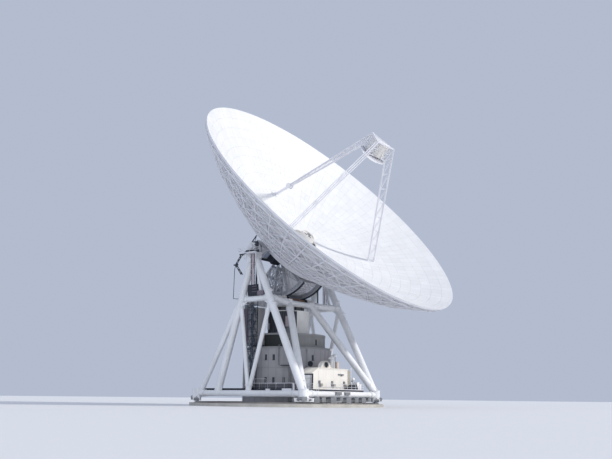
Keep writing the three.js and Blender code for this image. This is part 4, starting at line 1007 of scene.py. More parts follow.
def build_tower_platforms():
    """Service decks beside the bearings, the cable arm, cable trays and cabinets of the towers."""
    for name, side in SIDES.items():
        rails = Piece(f"bearing_deck_{name}")
        near, outer = side * 12.6, side * 13.45
        rails.box((side * 12.55, side * 13.5), (-2.1, 2.6), (30.5, BEARING_DECK))
        railing(rails, [(near, 2.55, BEARING_DECK), (outer, 2.55, BEARING_DECK), (outer, -2.05, BEARING_DECK),
                        (near, -2.05, BEARING_DECK)])
        for y in (-1.9, 0.2, 2.3):
            rails.bar((side * 12.0, y * 0.6, 29.4), (side * 13.3, y, 30.5), 0.1, 0.14)
            rails.bar((side * 11.6, y, 30.47), (outer, y, 30.47), 0.1, 0.12)
        rails.rod((side * 12.0, -0.1, 33.1), (side * 12.0, 1.1, 33.1), 0.04)
        rails.put("lattice")

        arm = Piece(f"cable_arm_{name}")
        x = side * 12.75
        for off in (-0.2, 0.2):
            arm.pipe([(x, y, z + off) if k < 2 else (x, y + off, z) for k, (y, z) in enumerate(ARM_ROUTE)],
                     0.09)
        for a, b in zip(ARM_ROUTE, ARM_ROUTE[1:]):
            for share in (0.15, 0.5, 0.85):
                arm.block((x, mix(a[0], b[0], share), mix(a[1], b[1], share)), (0.16, 0.34, 0.34))
        arm.box(about(x, 0.12), (-2.5, 0.75), (30.62, 31.05))
        arm.bar((side * 13.3, 2.2, 30.35), (side * 13.3, -0.4, 30.8), 0.3, 0.3)
        arm.box((side * 12.7, side * 12.76), (-2.3, -1.2), over(series(30.95, 0.4, 4), 0.17))
        arm.block((x, 3.75, 28.5), (0.3, 1.1, 0.26))
        arm.block((x, 0.75, 31.0), (0.3, 0.5, 0.5))
        root, elbow, tip = ((side * 12.3, y, z) for y, z in ((-0.1, 32.9), (-0.9, 32.9), (-1.35, 34.2)))
        arm.rods((root, tip, 0.12), (root, (side * 12.3, -1.7, 32.9), 0.12), (elbow, tip, 0.06))
        arm.pipe([(x, 3.85, 28.6), (x, 4.1, 27.34), (x, 4.2, 21.5), (x, 2.9, 21.35)], 0.07, 6)
        arm.box((side * 12.35, side * 12.75), (-2.05, -1.45), (31.9, 32.7))
        arm.put("dark")

        bottom = 24.1 if name == "left" else 21.9
        trays = Piece(f"cable_trays_{name}")
        pipes = Piece(f"tower_pipes_{name}")
        for piece, y, radius in ((trays, -0.45, 0.09), (trays, -0.65, 0.09), (pipes, -0.15, 0.08),
                                 (pipes, -1.0, 0.08)):
            piece.pipe([(side * 12.45, y, 30.4), (side * 12.35, y, 27.5), (side * 12.3, y - 0.1, bottom)],
                       radius)
        trays.box((side * 12.28, side * 12.5), (-1.2, -0.05), over(series(24.9, 1.15, 5), 0.08))
        trays.put("pink")
        for y in (-0.12, 0.12):
            pipes.post(side * 10.5, y, (21.7, 29.6), 0.09, 8)
        for z in (22.0, 29.3):
            pipes.bar((side * 10.45, 0, z), (side * 11.5, 0, z), 0.4, 0.12)
        pipes.put("dark")

    cabinet = Piece("strut_cabinets")
    cabinet.box((-12.3, -11.1), (-1.87, 0.65), (21.86, 24.1))
    cabinet.box((-12.36, -12.3), about(series(-1.8, 0.48, 6), 0.03), (21.9, 24.05))
    cabinet.put("dark")
    low_box = Piece("strut_low_box")
    low_box.box((-12.4, -11.2), (-3.46, -1.95), (21.86, 22.75))
    low_box.box((-12.4, -12.3), (-1.75, -0.5), over([22.55, 23.1, 23.65], 0.1))
    # The low box takes the lavender painted shade colour of the shaft's side
    low_box.put("mauve_shade", slot="dark_steel")


def build_mid_frame():
    piece = Piece("mid_frame_tubes")
    for end in (-1, 1):
        tube(piece, mid_corner(-1, end), mid_corner(1, end), CORNER_TUBE, 2.5)
    for side in SIDES.values():
        tube(piece, mid_corner(side, -1), mid_corner(side, 1), CORNER_TUBE, 2.5)
        for foot, end in ((FRONT_FOOT_Y, -1), (REAR_FOOT_Y, 1)):
            corner, leg = mid_corner(side, end), on_leg(side, foot, MID_HEIGHT)
            tube(piece, corner, leg, STRUT_TUBE)
            collars(piece, leg, corner, STRUT_TUBE, (0.17, 0.17))
            piece.post(corner.x, corner.y, (corner.z - 0.68, corner.z + 0.66), 0.78, 32)
    piece.put("steel", "mid_frame")

    ring = Piece("mid_ring")
    inner, outer = RING_RADII
    low, high = RING_SPAN
    ring.lathe([(inner, low), (outer, low), (outer, low + 0.12), (outer - 0.14, low + 0.12),
                (outer - 0.14, high - 0.12), (outer, high - 0.12), (outer, high), (inner, high)], 64)
    for k in range(24):
        ring.box((outer - 0.16, outer - 0.02), about(0, 0.04), (low + 0.1, high - 0.1), rotation(15 * k, "Z"))
    ring.put("cream")

    deck = Piece("mid_deck")
    deck.lathe(band((0, inner), (MID_HEIGHT - 0.12, MID_HEIGHT + 0.1)), 48)
    for x, y in (((-4.6, -3.3), (-1.9, 4.2)), ((3.3, 4.6), (-0.2, 4.2)), ((-3.3, 3.3), (3.4, 4.2))):
        deck.box(x, y, (21.76, 21.82))
    railing(deck, [(-4.55, -1.85, 21.82), (-4.55, 4.15, 21.82), (4.55, 4.15, 21.82), (4.55, -0.15, 21.82)])
    deck.put("machine")


def build_elevation_drive():
    """The pinion shaft under the gear sectors, its gearboxes and motors."""
    y, z = PINION_PLACE
    motor = (y + 0.3, z + 0.1)
    shaft = Piece("pinion_shaft")
    shaft.rod((-3.6, y, z), (3.6, y, z), 0.2, 24)
    for x in series(-2.45, 0.35, 15):
        shaft.rod((x - 0.05, y, z), (x + 0.05, y, z), 0.26, 16)
    shaft.put("rust")
    pinions = Piece("drive_pinions")
    drives = Piece("elevation_gearboxes")
    for side in SIDES.values():
        x = side * GEAR_X
        pinions.rod((x - 0.3, y, z), (x + 0.3, y, z), 0.32, 24)
        for k in range(14):
            angle = math.radians(360 / 14 * k)
            tip = Vector((0, math.sin(angle), math.cos(angle)))
            pinions.bar(Vector((x, y, z)) + tip * 0.3, Vector((x, y, z)) + tip * 0.42, 0.09, 0.56, ACROSS)
        drives.box((side * 3.62, side * 4.45), (y - 0.3, y + 1.2), (21.5, 22.6))
        drives.box((side * 3.58, side * 4.49), over(series(y - 0.26, 0.44, 4), 0.06), (21.5, 22.66))
        drives.rod((side * 4.45, *motor), (side * 5.5, *motor), 0.34, 24)
        for x in series(side * 4.6, side * 0.1, 9):
            drives.rod((x, *motor), (x + 0.03, *motor), 0.39, 24)
    pinions.put("dark")
    drives.put("beige")


def build_ring_legs():
    for name, side in SIDES.items():
        top = mid_corner(side, -1)
        foot = Vector((side * TOWER_FOOT_X, -CORNER_Y, BASE_HEIGHT + 0.3))
        piece = Piece(f"ring_leg_tube_{name}")
        tube(piece, top, foot, RING_LEG_TUBE)
        collars(piece, top, foot, RING_LEG_TUBE, (0.07, 0.08))
        piece.put("steel", f"ring_leg_{name}")


def build_base_beams():
    x, y = TOWER_FOOT_X, CORNER_Y
    for name, a, b in (("front_beam", (-x, -y), (x, -y)), ("rear_beam", (-x, y), (x, y)),
                       ("side_beam_left", (-x, -y), (-x, y)), ("side_beam_right", (x, -y), (x, y))):
        a, b = Vector((*a, BASE_HEIGHT)), Vector((*b, BASE_HEIGHT))
        piece = Piece(f"{name}_tube")
        tube(piece, a, b, BEAM_TUBE)
        collars(piece, a, b, BEAM_TUBE, (0.075, 0.075))
        piece.put("steel", name)


def build_bogies():
    for (end_name, end), (name, side) in itertools.product((("front", -1), ("rear", 1)), SIDES.items()):
        x, y = side * TOWER_FOOT_X, end * CORNER_Y
        heading = rotation(math.degrees(math.atan2(y, x)), "Z")
        corner = f"{end_name}_{name}"
        truck = Piece(f"bogie_frame_{corner}")
        for low, high, radius in ((1.6, 3.28, 0.96), (3.28, 3.36, 1.04), (1.66, 1.8, 1.12)):
            truck.post(x, y, (low, high), radius, 40)
        for k in range(16):
            spot = polar(0.86, 22.5 * k, 3.34)
            truck.post(x + spot.x, y + spot.y, (3.34, 3.42), 0.05)
        for off, way, z in ((over([-0.65, 0.48], 0.17), about(0, 1.85), (1.0, 1.68)),
                            (about(0, 0.66), about(0, 1.9), (1.62, 1.7)),
                            (about(0, 0.5), over([-1.87, -0.1, 1.67], 0.2), (1.3, 1.62)),
                            (over([0.64, -0.74], 0.1), over(series(-1.6, 0.53, 7), 0.06), (1.0, 1.7))):
            truck.box(off, way, z, heading @ shift(TRACK_RADIUS, 0, 0))
        truck.put("steel", f"bogie_{corner}")
        wheels = Piece(f"bogie_wheels_{corner}")
        for way in (-1.15, 1.15):
            turn = heading @ shift(TRACK_RADIUS, way, 1.355) @ ALONG_AXLE
            wheels.lathe([(0.14, -0.2), (0.3, -0.2), (0.36, -0.12), (0.5, -0.14), (0.5, 0.14), (0.36, 0.12),
                          (0.3, 0.2), (0.14, 0.2)], 48, turn)
            wheels.lathe(band((0, 0.13), (-0.6, 0.7)), 24, turn)
            wheels.lathe([(0, 0.72), (0.24, 0.72), (0.2, 0.84), (0, 0.84)], 24, turn)
        wheels.put("rail")
        drive = Piece(f"bogie_drive_{corner}")
        drive.box((TRACK_RADIUS + 0.76, TRACK_RADIUS + 1.25), about(0, 0.45), (1.15, 1.95), heading)
        motor = TRACK_RADIUS + 1.0
        drive.rod((motor, -0.45, 1.6), (motor, -1.35, 1.6), 0.26, 20, place=heading)
        for way in series(-0.6, -0.1, 7):
            drive.rod((motor, way, 1.6), (motor, way - 0.04, 1.6), 0.3, 20, place=heading)
        drive.put("machine")
        scraper = Piece(f"rail_scrapers_{corner}")
        scraper.box(about(TRACK_RADIUS, 0.34), [(-2.0, -1.92), (1.92, 2.0)], (0.9, 1.62), heading)
        for way in (-2.05, 2.05):
            scraper.rod((TRACK_RADIUS - 0.5, way, 1.35), (TRACK_RADIUS + 0.5, way, 1.35), 0.12, 12,
                        place=heading)
        scraper.put("machine")


# Front platform, cabin, stairs and housings of the alidade

DECK = 3.34
CABIN_X = (-8.4, 3.4)
CABIN_Y = (-13.05, -9.98)
CABIN_TOP = 7.34
ROOF_TOP = 7.54
SLOPE_END = -6.4
SLOPE_DROP = 1.0
PLATFORM_X = (-9.0, 7.4)
PLATFORM_Y = (-14.4, -9.95)
WALKWAY_X = (-11.7, -10.75)
WALKWAY_TURN_Y = -10.95
STAIR_X = (-11.5, -10.1)
STAIR_Y = (-0.3, 1.4)
STAIR_BOTTOM = 2.3
STAIR_TOP = 20.08
STAIR_LEVELS = 6
STAIR_POST = 0.06
FLIGHT_STEPS = 7
SHAFT_X = (-10.05, -8.1)
SHAFT_Y = (-0.5, 3.8)
SHAFT_Z = (12.1, 19.6)
WRAP_RADIUS = 4.5
# Angles of the pale panels, only on the drum's sunlit side; elsewhere the near-black core paints the shade
WRAP_SUNLIT_PANELS = (244, 420)
WRAP_SPAN = (14.75, 19.6)


def build_platform():
    """The deck on the front beam with its joists, railing, ladder and the machines on it."""
    (x0, x1), (y0, y1) = PLATFORM_X, PLATFORM_Y
    deck = Piece("platform_deck")
    deck.box(PLATFORM_X, PLATFORM_Y, (DECK - 0.08, DECK))
    deck.box(about(steps(x0 + 0.08, x1 - 0.08, 16), 0.06), (y0 + 0.05, y1 - 0.05), (DECK - 0.24, DECK - 0.07))
    deck.box(PLATFORM_X, about([y0 + 0.06, -13.2, -10.8, y1 - 0.06], 0.06), (DECK - 0.26, DECK - 0.07))
    deck.put("dark", "front_platform")
    rails = Piece("platform_railing")
    railing(rails, [(-5.6, y0 + 0.05, DECK), (x1 - 0.05, y0 + 0.05, DECK), (x1 - 0.05, y1 - 0.1, DECK),
                    (3.6, y1 - 0.1, DECK)])
    railing(rails, [(x0 + 0.05, y0 + 0.7, DECK), (x0 + 0.05, y1 - 0.1, DECK)])
    ladder(rails, (x0 + 0.5, y0 - 0.02, 0.5), (x0 + 0.5, y0 - 0.02, DECK + 1.1), ACROSS, 0.6)
    rails.put("lattice")

    kit = Piece("platform_cabinets")
    for x, y, width, depth, height in ((5.4, -11.5, 0.8, 1.2, 1.6), (6.1, -13.4, 0.8, 1.0, 1.55),
                                       (6.95, -13.4, 0.7, 1.0, 1.2)):
        top = DECK + height
        kit.box(about(x, width / 2), about(y, depth / 2), (DECK, top))
        kit.box(about(x, width / 2 + 0.04), about(y, depth / 2 + 0.04), over(top, 0.06))
        kit.box(about(x, width * 0.35), over(y - depth / 2, -0.03),
                over(series(DECK + 0.3 * height, 0.2 * height, 3), 0.06))
    kit.lathe([(0, 5.25), (0.2, 5.32), (0.32, 5.45), (0.35, 5.6), (0.32, 5.75), (0.2, 5.88), (0, 5.95)], 24,
              shift(6.0, -12.7, 0))
    kit.post(6.0, -12.7, (DECK, 5.35), 0.06, 10)
    kit.post(4.9, -12.9, (DECK, 7.8), 0.07, 10)
    kit.put("bright", slot="beige_panel")
    column = Piece("platform_column")
    column.box((3.47, 4.5), (-13.0, -12.0), (DECK, 7.3))
    column.box((3.46, 4.54), (-13.04, -11.96), over(series(DECK + 0.5, 0.62, 6), 0.05))
    column.put("tan")
    dark_box = Piece("platform_dark_box")
    dark_box.box((2.2, 5.5), (-14.25, -13.6), (DECK, 4.0))
    dark_box.box((3.3, 5.2), (-14.25, -13.6), (4.0, 4.5))
    dark_box.box((3.26, 5.24), (-14.28, -13.56), (4.5, 4.55))
    dark_box.put("dark")
    pipes = Piece("platform_pipes")
    for x, z, radius in ((3.9, 4.6, 0.1), (5.0, 4.1, 0.12), (6.0, 4.4, 0.14)):
        pipes.pipe([(x, -11.0, DECK), (x, -11.0, z + 0.8), (x + 1.0, -11.0, z + 1.0),
                    (x + 1.2, -11.9, z + 0.7), (x + 1.2, -12.2, DECK)], radius, 10)
    pipes.post(6.9, -11.0, (DECK, DECK + 1.7), 0.36, 24)
    pipes.post(6.9, -11.0, (DECK + 1.7, DECK + 1.95), 0.36, 24, 0.1)
    pipes.put("machine")


def build_beam_kit():
    """The boxes on the front beam and the machines that hang below it."""
    boxes = Piece("beam_boxes")
    for x0, x1 in ((-3.0, -1.2), (0.1, 1.75)):
        boxes.box((x0, x1), (-14.95, -14.55), (2.35, 2.85))
        boxes.box((x0 - 0.04, x1 + 0.04), (-14.99, -14.5), (2.85, 2.9))
        boxes.box(about(steps(x0 + 0.2, x1 - 0.2, 3), 0.02), (-14.98, -14.94), (2.38, 2.83))
    boxes.put("machine")
    under = Piece("beam_machinery")
    for x, width, height in ((-9.0, 1.6, 1.1), (-6.8, 1.2, 0.9), (-3.6, 1.8, 1.15), (-0.9, 1.0, 0.8),
                             (1.6, 1.7, 1.1), (4.4, 1.3, 0.95), (7.0, 1.5, 1.15), (9.0, 0.9, 0.8)):
        under.box(about(x, width / 2), (-14.7, -13.5), (1.85 - height, 1.85))
        for post_x in about(x, width * 0.3):
            under.post(post_x, -14.1, (1.85, 2.1), 0.08, 8)
    for z, radius in ((1.35, 0.07), (1.1, 0.05)):
        under.rod((-10.0, -14.62, z), (10.0, -14.62, z), radius, 8)
    under.put("machine")


def build_cabin():
    (x0, x1), (y0, y1) = CABIN_X, CABIN_Y
    eave = CABIN_TOP - SLOPE_DROP
    trims = Piece("cabin_trims")
    trims.box(about(steps(SLOPE_END, x1, 4), 0.03), (y0 - 0.025, y0 + 0.02), (DECK + 0.02, CABIN_TOP - 0.02))
    for x, top in ((x0, eave), (x1, CABIN_TOP)):
        trims.box(about(x, 0.04), about(y0, 0.04), (DECK + 0.02, top))
    ledges = over([DECK + 0.02, 5.35], 0.06)
    trims.box((x0 - 0.03, x1 + 0.03), (y0 - 0.035, y0 + 0.02), ledges)
    trims.box((x0 - 0.05, x0 + 0.02), (-10.3, y1), ledges)
    trims.put("cabin")

    roof = Piece("cabin_roof_sheet")
    edge_x, edge_y = x0 - 0.12, y0 - 0.12
    for y in steps(y0 - 0.1, y1 - 0.04, 8):
        roof.bar((edge_x, y, eave + 0.1), (SLOPE_END, y, CABIN_TOP + 0.14), 0.05, 0.14)
    roof.loft([[(edge_x, y, eave - 0.04), (SLOPE_END, y, CABIN_TOP), (SLOPE_END, y, CABIN_TOP + 0.16),
                (edge_x, y, eave + 0.12)] for y in (edge_y, y1)])
    roof.box((SLOPE_END, x1 + 0.12), (edge_y, y1), (CABIN_TOP, ROOF_TOP - 0.04))
    roof.box(about(steps(SLOPE_END, x1, 20), 0.03), (y0 - 0.1, y1), (ROOF_TOP - 0.05, ROOF_TOP + 0.02))
    roof.put("cabin", "cabin_roof")

    door = Piece("cabin_door_frame")
    door.box((x0 - 0.06, x0 + 0.04), about([-12.6, -10.3], 0.04), (DECK + 0.01, DECK + 2.92))
    door.box((x0 - 0.06, x0 + 0.04), (-12.62, -10.3), (DECK + 2.86, DECK + 2.94))
    door.post(x0 - 0.1, -11.6, (DECK + 1.2, DECK + 1.7), 0.03, 8)
    door.put("machine")
    lines = Piece("cabin_dark_lines")
    lines.box((x0 - 0.08, x0 + 0.24), (y0 - 0.07, y0 - 0.02), (DECK, eave))
    lines.box((x0 - 0.08, x0 - 0.05), (y0 - 0.07, y0 + 0.12), (DECK, eave))
    lines.box((x0 - 0.08, x0 - 0.05), (y0 + 0.12, y1 - 0.05), (eave - 0.26, eave - 0.05))
    lines.put("dark")
    # A near-white sheet over the cabin's left face: painted light, brighter than its unlit side would be
    face = Piece("cabin_left_face_painted_light")
    face.box((x0 - 0.045, x0 - 0.01), [(y0 + 0.15, -12.68), (-12.52, -10.4)],
             [(DECK + 0.1, 5.33), (5.43, eave - 0.3)])
    face.put("bright")

    brackets = Piece("cabin_brown_boxes")
    fixtures = Piece("cabin_fixtures")
    for x in (-6.0, -1.75, 2.35):
        brackets.box((x - 0.1, x + 0.55), (y0 - 0.4, y0), (4.0, 4.5))
        brackets.box((x - 0.06, x + 0.51), (y0 - 0.46, y0 - 0.4), (4.05, 4.45))
        fixtures.box((x - 0.42, x - 0.1), (y0 - 0.3, y0), (4.0, 5.05))
    brackets.put("tan", slot="dark_steel")
    fixtures.box((0.1, 2.0), (y0 - 0.12, y0), (6.2, 6.5))
    fixtures.rod((1.2, y0 - 0.12, 6.1), (1.2, y0 - 0.3, 6.3), 0.14, 12)
    fixtures.box((x1, x1 + 0.12), (-12.4, -11.3), (4.6, 6.4))
    fixtures.box((x1 + 0.1, x1 + 0.18), (-12.3, -11.4), over(series(4.7, 0.2, 8), 0.09))
    fixtures.put("machine")


# The round air shroud on the cabin's roof: its middle, front, depth and size, and the hole in its front

SHROUD_X = -3.05
SHROUD_FRONT = -12.4
SHROUD_DEPTH = 0.7
SHROUD_REACH = 1.6
SHROUD_STRETCH = (1.1, 0.9)
HOLE_RISE = 0.72
HOLE_RADIUS = 0.72
HOLE_STRETCH = (1.14, 0.8)


def shroud_outline():
    """Points of the hole in the shroud's front and, opposite each, of its outer edge."""
    (wide, tall), (hole_wide, hole_tall) = SHROUD_STRETCH, HOLE_STRETCH
    ring, around = [], []
    for k in range(36):
        away = polar(1, 10 * k, 0)
        reached = HOLE_RADIUS
        while reached < 2 * SHROUD_REACH:
            spot = away * reached + Vector((0, HOLE_RISE, 0))
            if spot.y < 0.01 or spot.length > SHROUD_REACH - 0.05:
                break
            reached += 0.02
        ring.append((away.x * HOLE_RADIUS * hole_wide,
                     ROOF_TOP + HOLE_RISE * tall + away.y * HOLE_RADIUS * hole_tall))
        around.append((away.x * reached * wide, ROOF_TOP + (HOLE_RISE + away.y * reached) * tall))
    return ring, around


def build_air_shroud():
    height = ROOF_TOP + HOLE_RISE * SHROUD_STRETCH[1]
    upright = rotation(90, "X")
    squeeze, hole_squeeze = (upright @ Matrix.Diagonal((*stretch, 1, 1))
                             for stretch in (SHROUD_STRETCH, HOLE_STRETCH))
    shroud = Piece("roof_air_shroud")
    shroud.lathe(band((SHROUD_REACH - 0.1, SHROUD_REACH), (0, SHROUD_DEPTH)), 40,
                 shift(SHROUD_X, SHROUD_FRONT + SHROUD_DEPTH, ROOF_TOP) @ squeeze, 0, 180)
    ring, around = shroud_outline()
    count = len(ring)
    loops = [(0, around), (0, ring), (0.08, ring), (0.08, around)]
    faces = []
    for low, high in ((0, 1), (1, 2), (2, 3), (3, 0)):
        for i in range(count):
            n = (i + 1) % count
            faces.append((low * count + i, low * count + n, high * count + n, high * count + i))
    shroud.add([(SHROUD_X - x, SHROUD_FRONT + y, z) for y, loop in loops for x, z in loop], faces)
    shroud.lathe(band(over(HOLE_RADIUS, 0.1), (0, 0.2)), 40,
                 shift(SHROUD_X, SHROUD_FRONT + 0.06, height) @ hole_squeeze)
    shroud.put("cabin")
    fan = Piece("roof_fan")
    fan.lathe(band((0, HOLE_RADIUS + 0.03), (0, 0.06)), 40,
              shift(SHROUD_X, SHROUD_FRONT + 0.26, height) @ hole_squeeze)
    fan.rod((SHROUD_X, SHROUD_FRONT + 0.06, height), (SHROUD_X, SHROUD_FRONT + 0.2, height), 0.14, 16)
    hub = Vector((SHROUD_X, SHROUD_FRONT + 0.13, height))
    for k in range(6):
        angle = math.radians(60 * k)
        tip = Vector((math.sin(angle), 0, math.cos(angle)))
        fan.bar(hub + tip * 0.1, hub + tip * 0.53, 0.2, 0.03, (0.3, 1, 0))
    fan.put("dark")


def build_cabin_roof_kit():
    """The duct with its slanted hood and ball, and the small units on the roof of the cabin."""
    duct = Piece("roof_duct")
    x, y = 1.75, -10.5
    for z, radius in (((ROOF_TOP - 0.02, 9.85), 0.42), ((ROOF_TOP, ROOF_TOP + 0.12), 0.56),
                      ((8.3, 8.38), 0.47), ((9.1, 9.18), 0.47)):
        duct.post(x, y, z, radius, 32)
    duct.loft([[(1.0, side, 9.5), (2.6, side, 10.1), (2.6, side, 10.6), (1.0, side, 9.75)]
               for side in (y - 0.5, y + 0.45)])
    duct.post(1.65, y + 0.25, (9.7, 11.2), 0.05, 10)
    duct.lathe([(0, 11.13), (0.15, 11.18), (0.25, 11.28), (0.27, 11.4), (0.25, 11.52), (0.15, 11.62),
                (0, 11.67)], 24, shift(1.65, y + 0.25, 0))
    duct.put("bright")
    kit = Piece("roof_units")
    kit.box((1.35, 1.95), (-12.0, -11.5), (ROOF_TOP, 8.9))
    kit.box((1.31, 1.99), (-12.04, -11.46), (8.9, 8.95))
    kit.box((-0.9, -0.2), (-11.9, -10.8), (ROOF_TOP, ROOF_TOP + 0.35))
    kit.put("peach")
    mast = Piece("roof_mast")
    mast.post(1.7, -11.2, (ROOF_TOP, 10.0), 0.07, 12)
    mast.post(1.7, -11.2, (ROOF_TOP, ROOF_TOP + 0.1), 0.16, 12)
    mast.put("machine")


def build_side_walkway():
    """The walkway from the platform to the stairs, with its bars, and the tray along the side beam."""
    (x0, x1), y0, y1 = WALKWAY_X, WALKWAY_TURN_Y, STAIR_Y[0] - 0.04
    end_x, corner, far_y = PLATFORM_X[0] - 0.04, PLATFORM_X[0] - 0.1, y1 - 0.05
    rail_z = DECK + 1.15
    deck = Piece("walkway_deck")
    pale = Piece("walkway_rails")
    deck.box(WALKWAY_X, (y0, y1), (DECK - 0.06, DECK))
    deck.box((x1, end_x), (y0, PLATFORM_Y[1]), (DECK - 0.06, DECK))
    deck.box(about([x0 + 0.05, x1 - 0.05], 0.05), (y0, y1), (DECK - 0.24, DECK - 0.05))
    deck.box((x0, end_x), about([y0 + 0.05, PLATFORM_Y[1] - 0.05], 0.05), (DECK - 0.24, DECK - 0.05))
    deck.box((-TOWER_FOOT_X, x1), about([-9, -6, -3], 0.15), (DECK - 0.24, DECK - 0.01))
    deck.box(WALKWAY_X, about([mix(y0, y1, (k + 0.5) / 17) for k in range(17)], 0.03),
             (DECK - 0.18, DECK - 0.05))
    for x, near in ((x0 + 0.05, y0 + 0.05), (x1 - 0.05, PLATFORM_Y[1] - 0.05)):
        deck.box(about(x, 0.02), (near, far_y), (DECK + 0.05, DECK + 0.3))
        deck.box(about(x, 0.02), (near, far_y), about(series(DECK + 0.42, 0.21, 3), 0.06))
        for y in steps(near, far_y, 5):
            pale.post(x, y, (DECK, rail_z), 0.03)
        pale.rod((x, near, rail_z), (x, far_y, rail_z), 0.035)
    deck.box((x0 + 0.05, corner), (y0 + 0.03, y0 + 0.07), about(series(DECK + 0.21, 0.21, 4), 0.06))
    pale.rod((x0 + 0.05, y0 + 0.05, rail_z), (corner, y0 + 0.05, rail_z), 0.035)
    for x in (mix(x0, corner, 0.5), corner):
        pale.post(x, y0 + 0.05, (DECK, rail_z), 0.03)
    pale.rod((x1 - 0.05, -3.4, DECK + 2.0), (x1 - 0.05, far_y, DECK + 2.0), 0.035)
    for y in (-3.4, far_y):
        pale.post(x1 - 0.05, y, (DECK, DECK + 2.0), 0.03)
    for from_y, to_y, z in ((-11.1, -8.9, 3.45), (-5.8, -4.8, 3.4), (-11.8, -11.55, 4.4)):
        pale.box((-12.5, -12.2), (from_y, to_y), (3.05, z))
    pale.put("lattice")
    deck.put("dark", "side_walkway")
    tray = Piece("side_beam_tray")
    tray.box((-11.5, -11.25), (1.5, 12.9), (3.05, 3.5))
    tray.box((-12.3, -11.25), about(series(1.9, 1.5, 8), 0.06), (2.98, 3.06))
    tray.put("dark")


def build_stairs():
    """The open stair tower: posts, landings, flights that zigzag, handrails and mesh bars."""
    (x0, x1), (y0, y1) = STAIR_X, STAIR_Y
    post_x, post_y = ([low + STAIR_POST, high - STAIR_POST] for low, high in (STAIR_X, STAIR_Y))
    levels = steps(STAIR_BOTTOM, STAIR_TOP, STAIR_LEVELS)
    bars = Piece("stair_frame")
    bars.box(about(post_x, STAIR_POST), about(post_y, STAIR_POST), (STAIR_BOTTOM, 20.95))
    for low, high in zip(levels, levels[1:]):
        for x in post_x:
            bars.rod((x, post_y[0], low), (x, post_y[1], high), 0.04)
        for z in (low, (low + high) / 2):
            for x in post_x:
                bars.rod((x, post_y[0], z + 1.1), (x, post_y[1], z + 1.1), 0.03)
            for y in post_y:
                bars.rod((post_x[0], y, z + 1.1), (post_x[1], y, z + 1.1), 0.03)
                bars.rod((post_x[0], y, z + 0.55), (post_x[1], y, z + 0.55), 0.025)
    # The stair frame's near-black blue is partly painted shade
    bars.put("stair_dark", "stair_tower")
    flights = Piece("stair_flights")
    middle = (x0 + x1) / 2
    lanes = [(x0 + 0.1, middle - 0.04), (middle + 0.04, x1 - 0.1)]
    for i, z in enumerate(levels):
        end = (y1 - 0.55, y1) if i % 2 else (y0, y0 + 0.55)
        flights.box(STAIR_X, end, (z, z + 0.08))
        flights.box(STAIR_X, about(list(end), 0.03), (z - 0.1, z + 0.08))
        if i == STAIR_LEVELS:
            break
        rise = (levels[i + 1] - z) / 2
        start, finish = (y1 - 0.5, y0 + 0.5) if i % 2 else (y0 + 0.5, y1 - 0.5)
        for lane, (low, from_y, to_y) in zip(lanes, ((z, start, finish), (z + rise, finish, start))):
            for x in lane:
                flights.bar((x, from_y, low), (x, to_y, low + rise), 0.04, 0.22)
            for share in steps(0, 1, FLIGHT_STEPS)[1:-1]:
                flights.box(lane, about(mix(from_y, to_y, share), 0.12), over(low + rise * share, 0.04))
            flights.rod((lane[0], from_y, low + 1.0), (lane[0], to_y, low + rise + 1.0), 0.025)
        middle_end = (y1 - 0.5, y1) if start < finish else (y0, y0 + 0.5)
        flights.box(STAIR_X, middle_end, (z + rise - 0.02, z + rise + 0.05))
    flights.put("stair")


def build_shaft():
    """The panelled shaft behind the stairs."""
    (x0, x1), (y0, y1), (z0, z1) = SHAFT_X, SHAFT_Y, SHAFT_Z
    rows, columns, halves = steps(z0, z1, 4), steps(y0, y1, 5), steps(x0, x1, 2)
    shaft = Piece("shaft_panels")
    side_panels = Piece("shaft_side_panels_painted_shade")
    shaft.box((x0 + 0.03, x1 - 0.03), (y0 + 0.03, y1 - 0.03), (z0, z1 - 0.02))
    levels = [(low + 0.03, high - 0.03) for low, high in zip(rows, rows[1:])]
    for k, (from_y, to_y) in enumerate(zip(columns, columns[1:])):
        # The far side panels get the darker lavender: painted shade
        piece = side_panels if k > 2 else shaft
        piece.box([(x0, x0 + 0.06), (x1 - 0.06, x1)], (from_y + 0.03, to_y - 0.03), levels)
    shaft.box([(from_x + 0.03, to_x - 0.03) for from_x, to_x in zip(halves, halves[1:])],
              [(y0, y0 + 0.06), (y1 - 0.06, y1)], levels)
    shaft.box((-9.7, -8.6), (2.2, 3.8), (z1 - 0.02, 20.5))
    shaft.put("shaft", "shaft_housing")
    side_panels.put("mauve_shade")
    slots = Piece("shaft_slots")
    slots.box((x0 - 0.03, x0 + 0.02), (1.0, 1.5), (14.6, 17.4))
    slots.box((x0 - 0.04, x1 + 0.04), (y0 - 0.04, y1 + 0.04), [(z1 - 0.04, z1 + 0.06), (z0, z0 + 0.14)])
    slots.put("machine")


